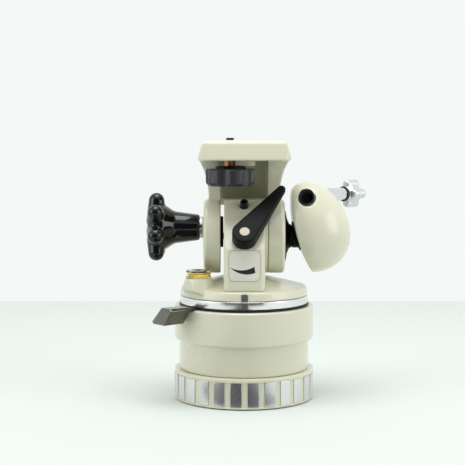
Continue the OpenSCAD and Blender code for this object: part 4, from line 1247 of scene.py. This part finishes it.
@dataclass
class CameraScrew:
    """Sliding camera screw under the platform."""

    collar_outline: Outline = ((2.575, 165, 0), (10.4, 165, 0), (10.4, 166.8, 0.5), (2.575, 166.8, 0))
    x: float = -10.0
    y: float = -22.6
    stud_low: float = 155.0
    stud_top: float = 186.6
    thread_low: float = 181.4
    shank_r: float = 2.575
    thread_r: float = 3.175
    thread_depth: float = 0.5
    crest_round: float = 0.12
    run_out: float = 0.4
    pitch: float = 1.27

    def place(self) -> Matrix:
        """Frame on the screw's axis."""
        return shift(self.x, self.y, 0)

    def knob(self) -> Piece:
        """Copies the fluted knob and melts its edges round."""
        return melted(cad_copy("camera_knob_fluted", "camera_knob"), voxel=0.4, rounds=6)

    def collar(self) -> Piece:
        """Spins the dark collar on the knob."""
        return settled(spun("camera_collar_dark", self.collar_outline, steps=72), self.place())

    def block(self) -> Piece:
        """Copies the pale slide block and breaks its edges."""
        return eased(cad_copy("slide_block_pale", "slide_block"), width=0.35, segments=2, angle=40.0)

    def stud(self) -> Piece:
        """Spins the stud with the crests of its thread.

        Returns:
            The stud.
        """
        low, top, crest = self.thread_low, self.stud_top, self.thread_r
        outline = [(0, self.stud_low, 0), (self.shank_r, self.stud_low, 0), (self.shank_r, low, 0)]
        root = crest - self.thread_depth
        while low + self.pitch < top - self.run_out:
            outline += [(root, low, 0), (crest, low + self.pitch / 2, self.crest_round)]
            low += self.pitch
        # the end is chamfered in two steps
        outline += [(root, low, 0), (crest - 0.3, top - 0.6, 0.1), (crest - 0.9, top, 0.3), (0, top, 0)]
        return settled(spun("camera_stud_threaded", outline, steps=64), self.place())

    def build(self) -> None:
        """Builds and dresses the camera screw."""
        adopt(self.knob(), "camera_screw", "black_matte", MOULDED_NYLON, "camera_knob")
        adopt(self.collar(), "camera_screw", "black_metal", BLACK_LACQUER, "camera_collar")
        adopt(self.stud(), "camera_screw", "steel", BLACKED_STEEL, "camera_stud")
        adopt(self.block(), "slide", "ivory", ACETAL, "slide_block")
        dress(COPPER_BRASS, "screw_bush")


@dataclass(frozen=True)
class Sheet:
    """A flat sheet of the studio, with its place and sides in mm and its turn from lying flat in degrees."""

    name: str
    at: Point
    turn: float
    size: tuple[float, float]
    finish: Look

    def build(self) -> Piece:
        """Sets up the sheet.

        Returns:
            The sheet.
        """
        deselect()
        lean = (math.radians(self.turn), 0, 0)
        bpy.ops.mesh.primitive_plane_add(size=1.0, location=Vector(self.at) * MM, rotation=lean)
        sheet = bpy.context.object
        sheet.name = self.name
        sheet.scale = (self.size[0] * MM, self.size[1] * MM, 1)
        sheet.data.materials.append(self.finish.material())
        return sheet


@dataclass
class Studio:
    """Pale floor, soft light and the camera at the photograph's angle."""

    camera_at: Point = (-8.28, -850.0, 186.0)
    pitch: float = -4.53
    focal_px: float = 1185.0
    image_px: float = 465.0
    sensor: float = 36.0
    pale: str = "#F4F8F6"
    ambient: float = 0.8
    aim: Point = (0.0, 0.0, 100.0)
    floor: Sheet = Sheet("floor", (0, 0, -0.2), 0, (1600, 1000), FLOOR_SHEET)
    upright: Sheet = Sheet("tent_front_upright", (-60, -1150, 440), 90, (1700, 1000), DARK_CARD)
    flat: Sheet = Sheet("tent_front_flat", (-28, -300, 0.3), 0, (150, 490), DARK_CARD)

    def camera(self) -> None:
        """Puts the camera level with the platform, pitched down a little."""
        data = bpy.data.cameras.new("camera")
        data.sensor_width = self.sensor
        data.lens = self.focal_px / self.image_px * self.sensor
        camera = bpy.data.objects.new("camera", data)
        camera.location = Vector(self.camera_at) * MM
        camera.rotation_euler = (math.radians(90 + self.pitch), 0, 0)
        bpy.context.scene.collection.objects.link(camera)
        bpy.context.scene.camera = camera

    def card(self, sheet: Sheet, shades: bool) -> None:
        """Sets up a dark card for the tent's open front.

        Args:
            sheet: The card.
            shades: Whether it also takes diffuse light away, or shows in reflections alone.
        """
        card = sheet.build()
        card.visible_camera = card.visible_shadow = card.visible_transmission = False
        card.visible_diffuse = shades

    def world(self) -> None:
        """Gives an even white surround that camera, reflections and clear bodies see as pale."""
        world = bpy.data.worlds.new("studio")
        bpy.context.scene.world = world
        world.use_nodes = True
        tree = world.node_tree
        tree.nodes.clear()
        path = node(tree, "ShaderNodeLightPath").outputs
        seen = path["Is Camera Ray"]
        for ray in ("Is Glossy Ray", "Is Transmission Ray"):
            seen = node(tree, "ShaderNodeMath", {0: seen, 1: path[ray]}, operation="MAXIMUM").outputs[0]
        light = node(tree, "ShaderNodeBackground", {"Color": (1, 1, 1, 1), "Strength": self.ambient})
        back = node(tree, "ShaderNodeBackground", {"Color": linear(self.pale), "Strength": 1.0})
        mixed = node(tree, "ShaderNodeMixShader", {
            0: seen, 1: light.outputs["Background"], 2: back.outputs["Background"],
        })
        node(tree, "ShaderNodeOutputWorld", {"Surface": mixed.outputs["Shader"]})

    def lamp(self, name: str, at: Point, size: float, watts: float) -> None:
        """Hangs one soft box that faces the object.

        Args:
            name: Name of the lamp.
            at: Place, in mm.
            size: Side of the box, in mm.
            watts: Power.
        """
        data = bpy.data.lights.new(name, "AREA")
        data.size = size * MM
        data.energy = watts
        lamp = bpy.data.objects.new(name, data)
        lamp.location = Vector(at) * MM
        lamp.rotation_euler = (Vector(self.aim) - Vector(at)).to_track_quat("-Z", "Y").to_euler()
        bpy.context.scene.collection.objects.link(lamp)

    def build(self) -> None:
        """Sets up camera, floor, cards, surround and lamps."""
        bpy.context.scene.view_settings.view_transform = "Standard"
        self.camera()
        floor = self.floor.build()
        self.card(self.upright, shades=True)
        self.card(self.flat, shades=False)
        self.world()
        self.lamp("soft_box_top", (0, -180, 1300), 800, 9.0)
        self.lamp("soft_box_left", (-1100, -500, 500), 700, 3.4)
        self.lamp("soft_box_right", (1100, -500, 500), 700, 4.0)


def main() -> None:
    """Builds every sub-assembly in order, then the studio."""
    logging.basicConfig(level=logging.INFO, format="%(name)s: %(message)s")
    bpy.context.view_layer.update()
    pillar = Pillar()
    for assembly in (Base(), PanLock(), PanCap(), pillar, DragLever(pillar), Yoke(), BrakeKnob(),
                     PanBarHolder(), ClampScrew(), CameraScrew(), Studio()):
        assembly.build()
    deselect()


if __name__ == "__main__":
    main()
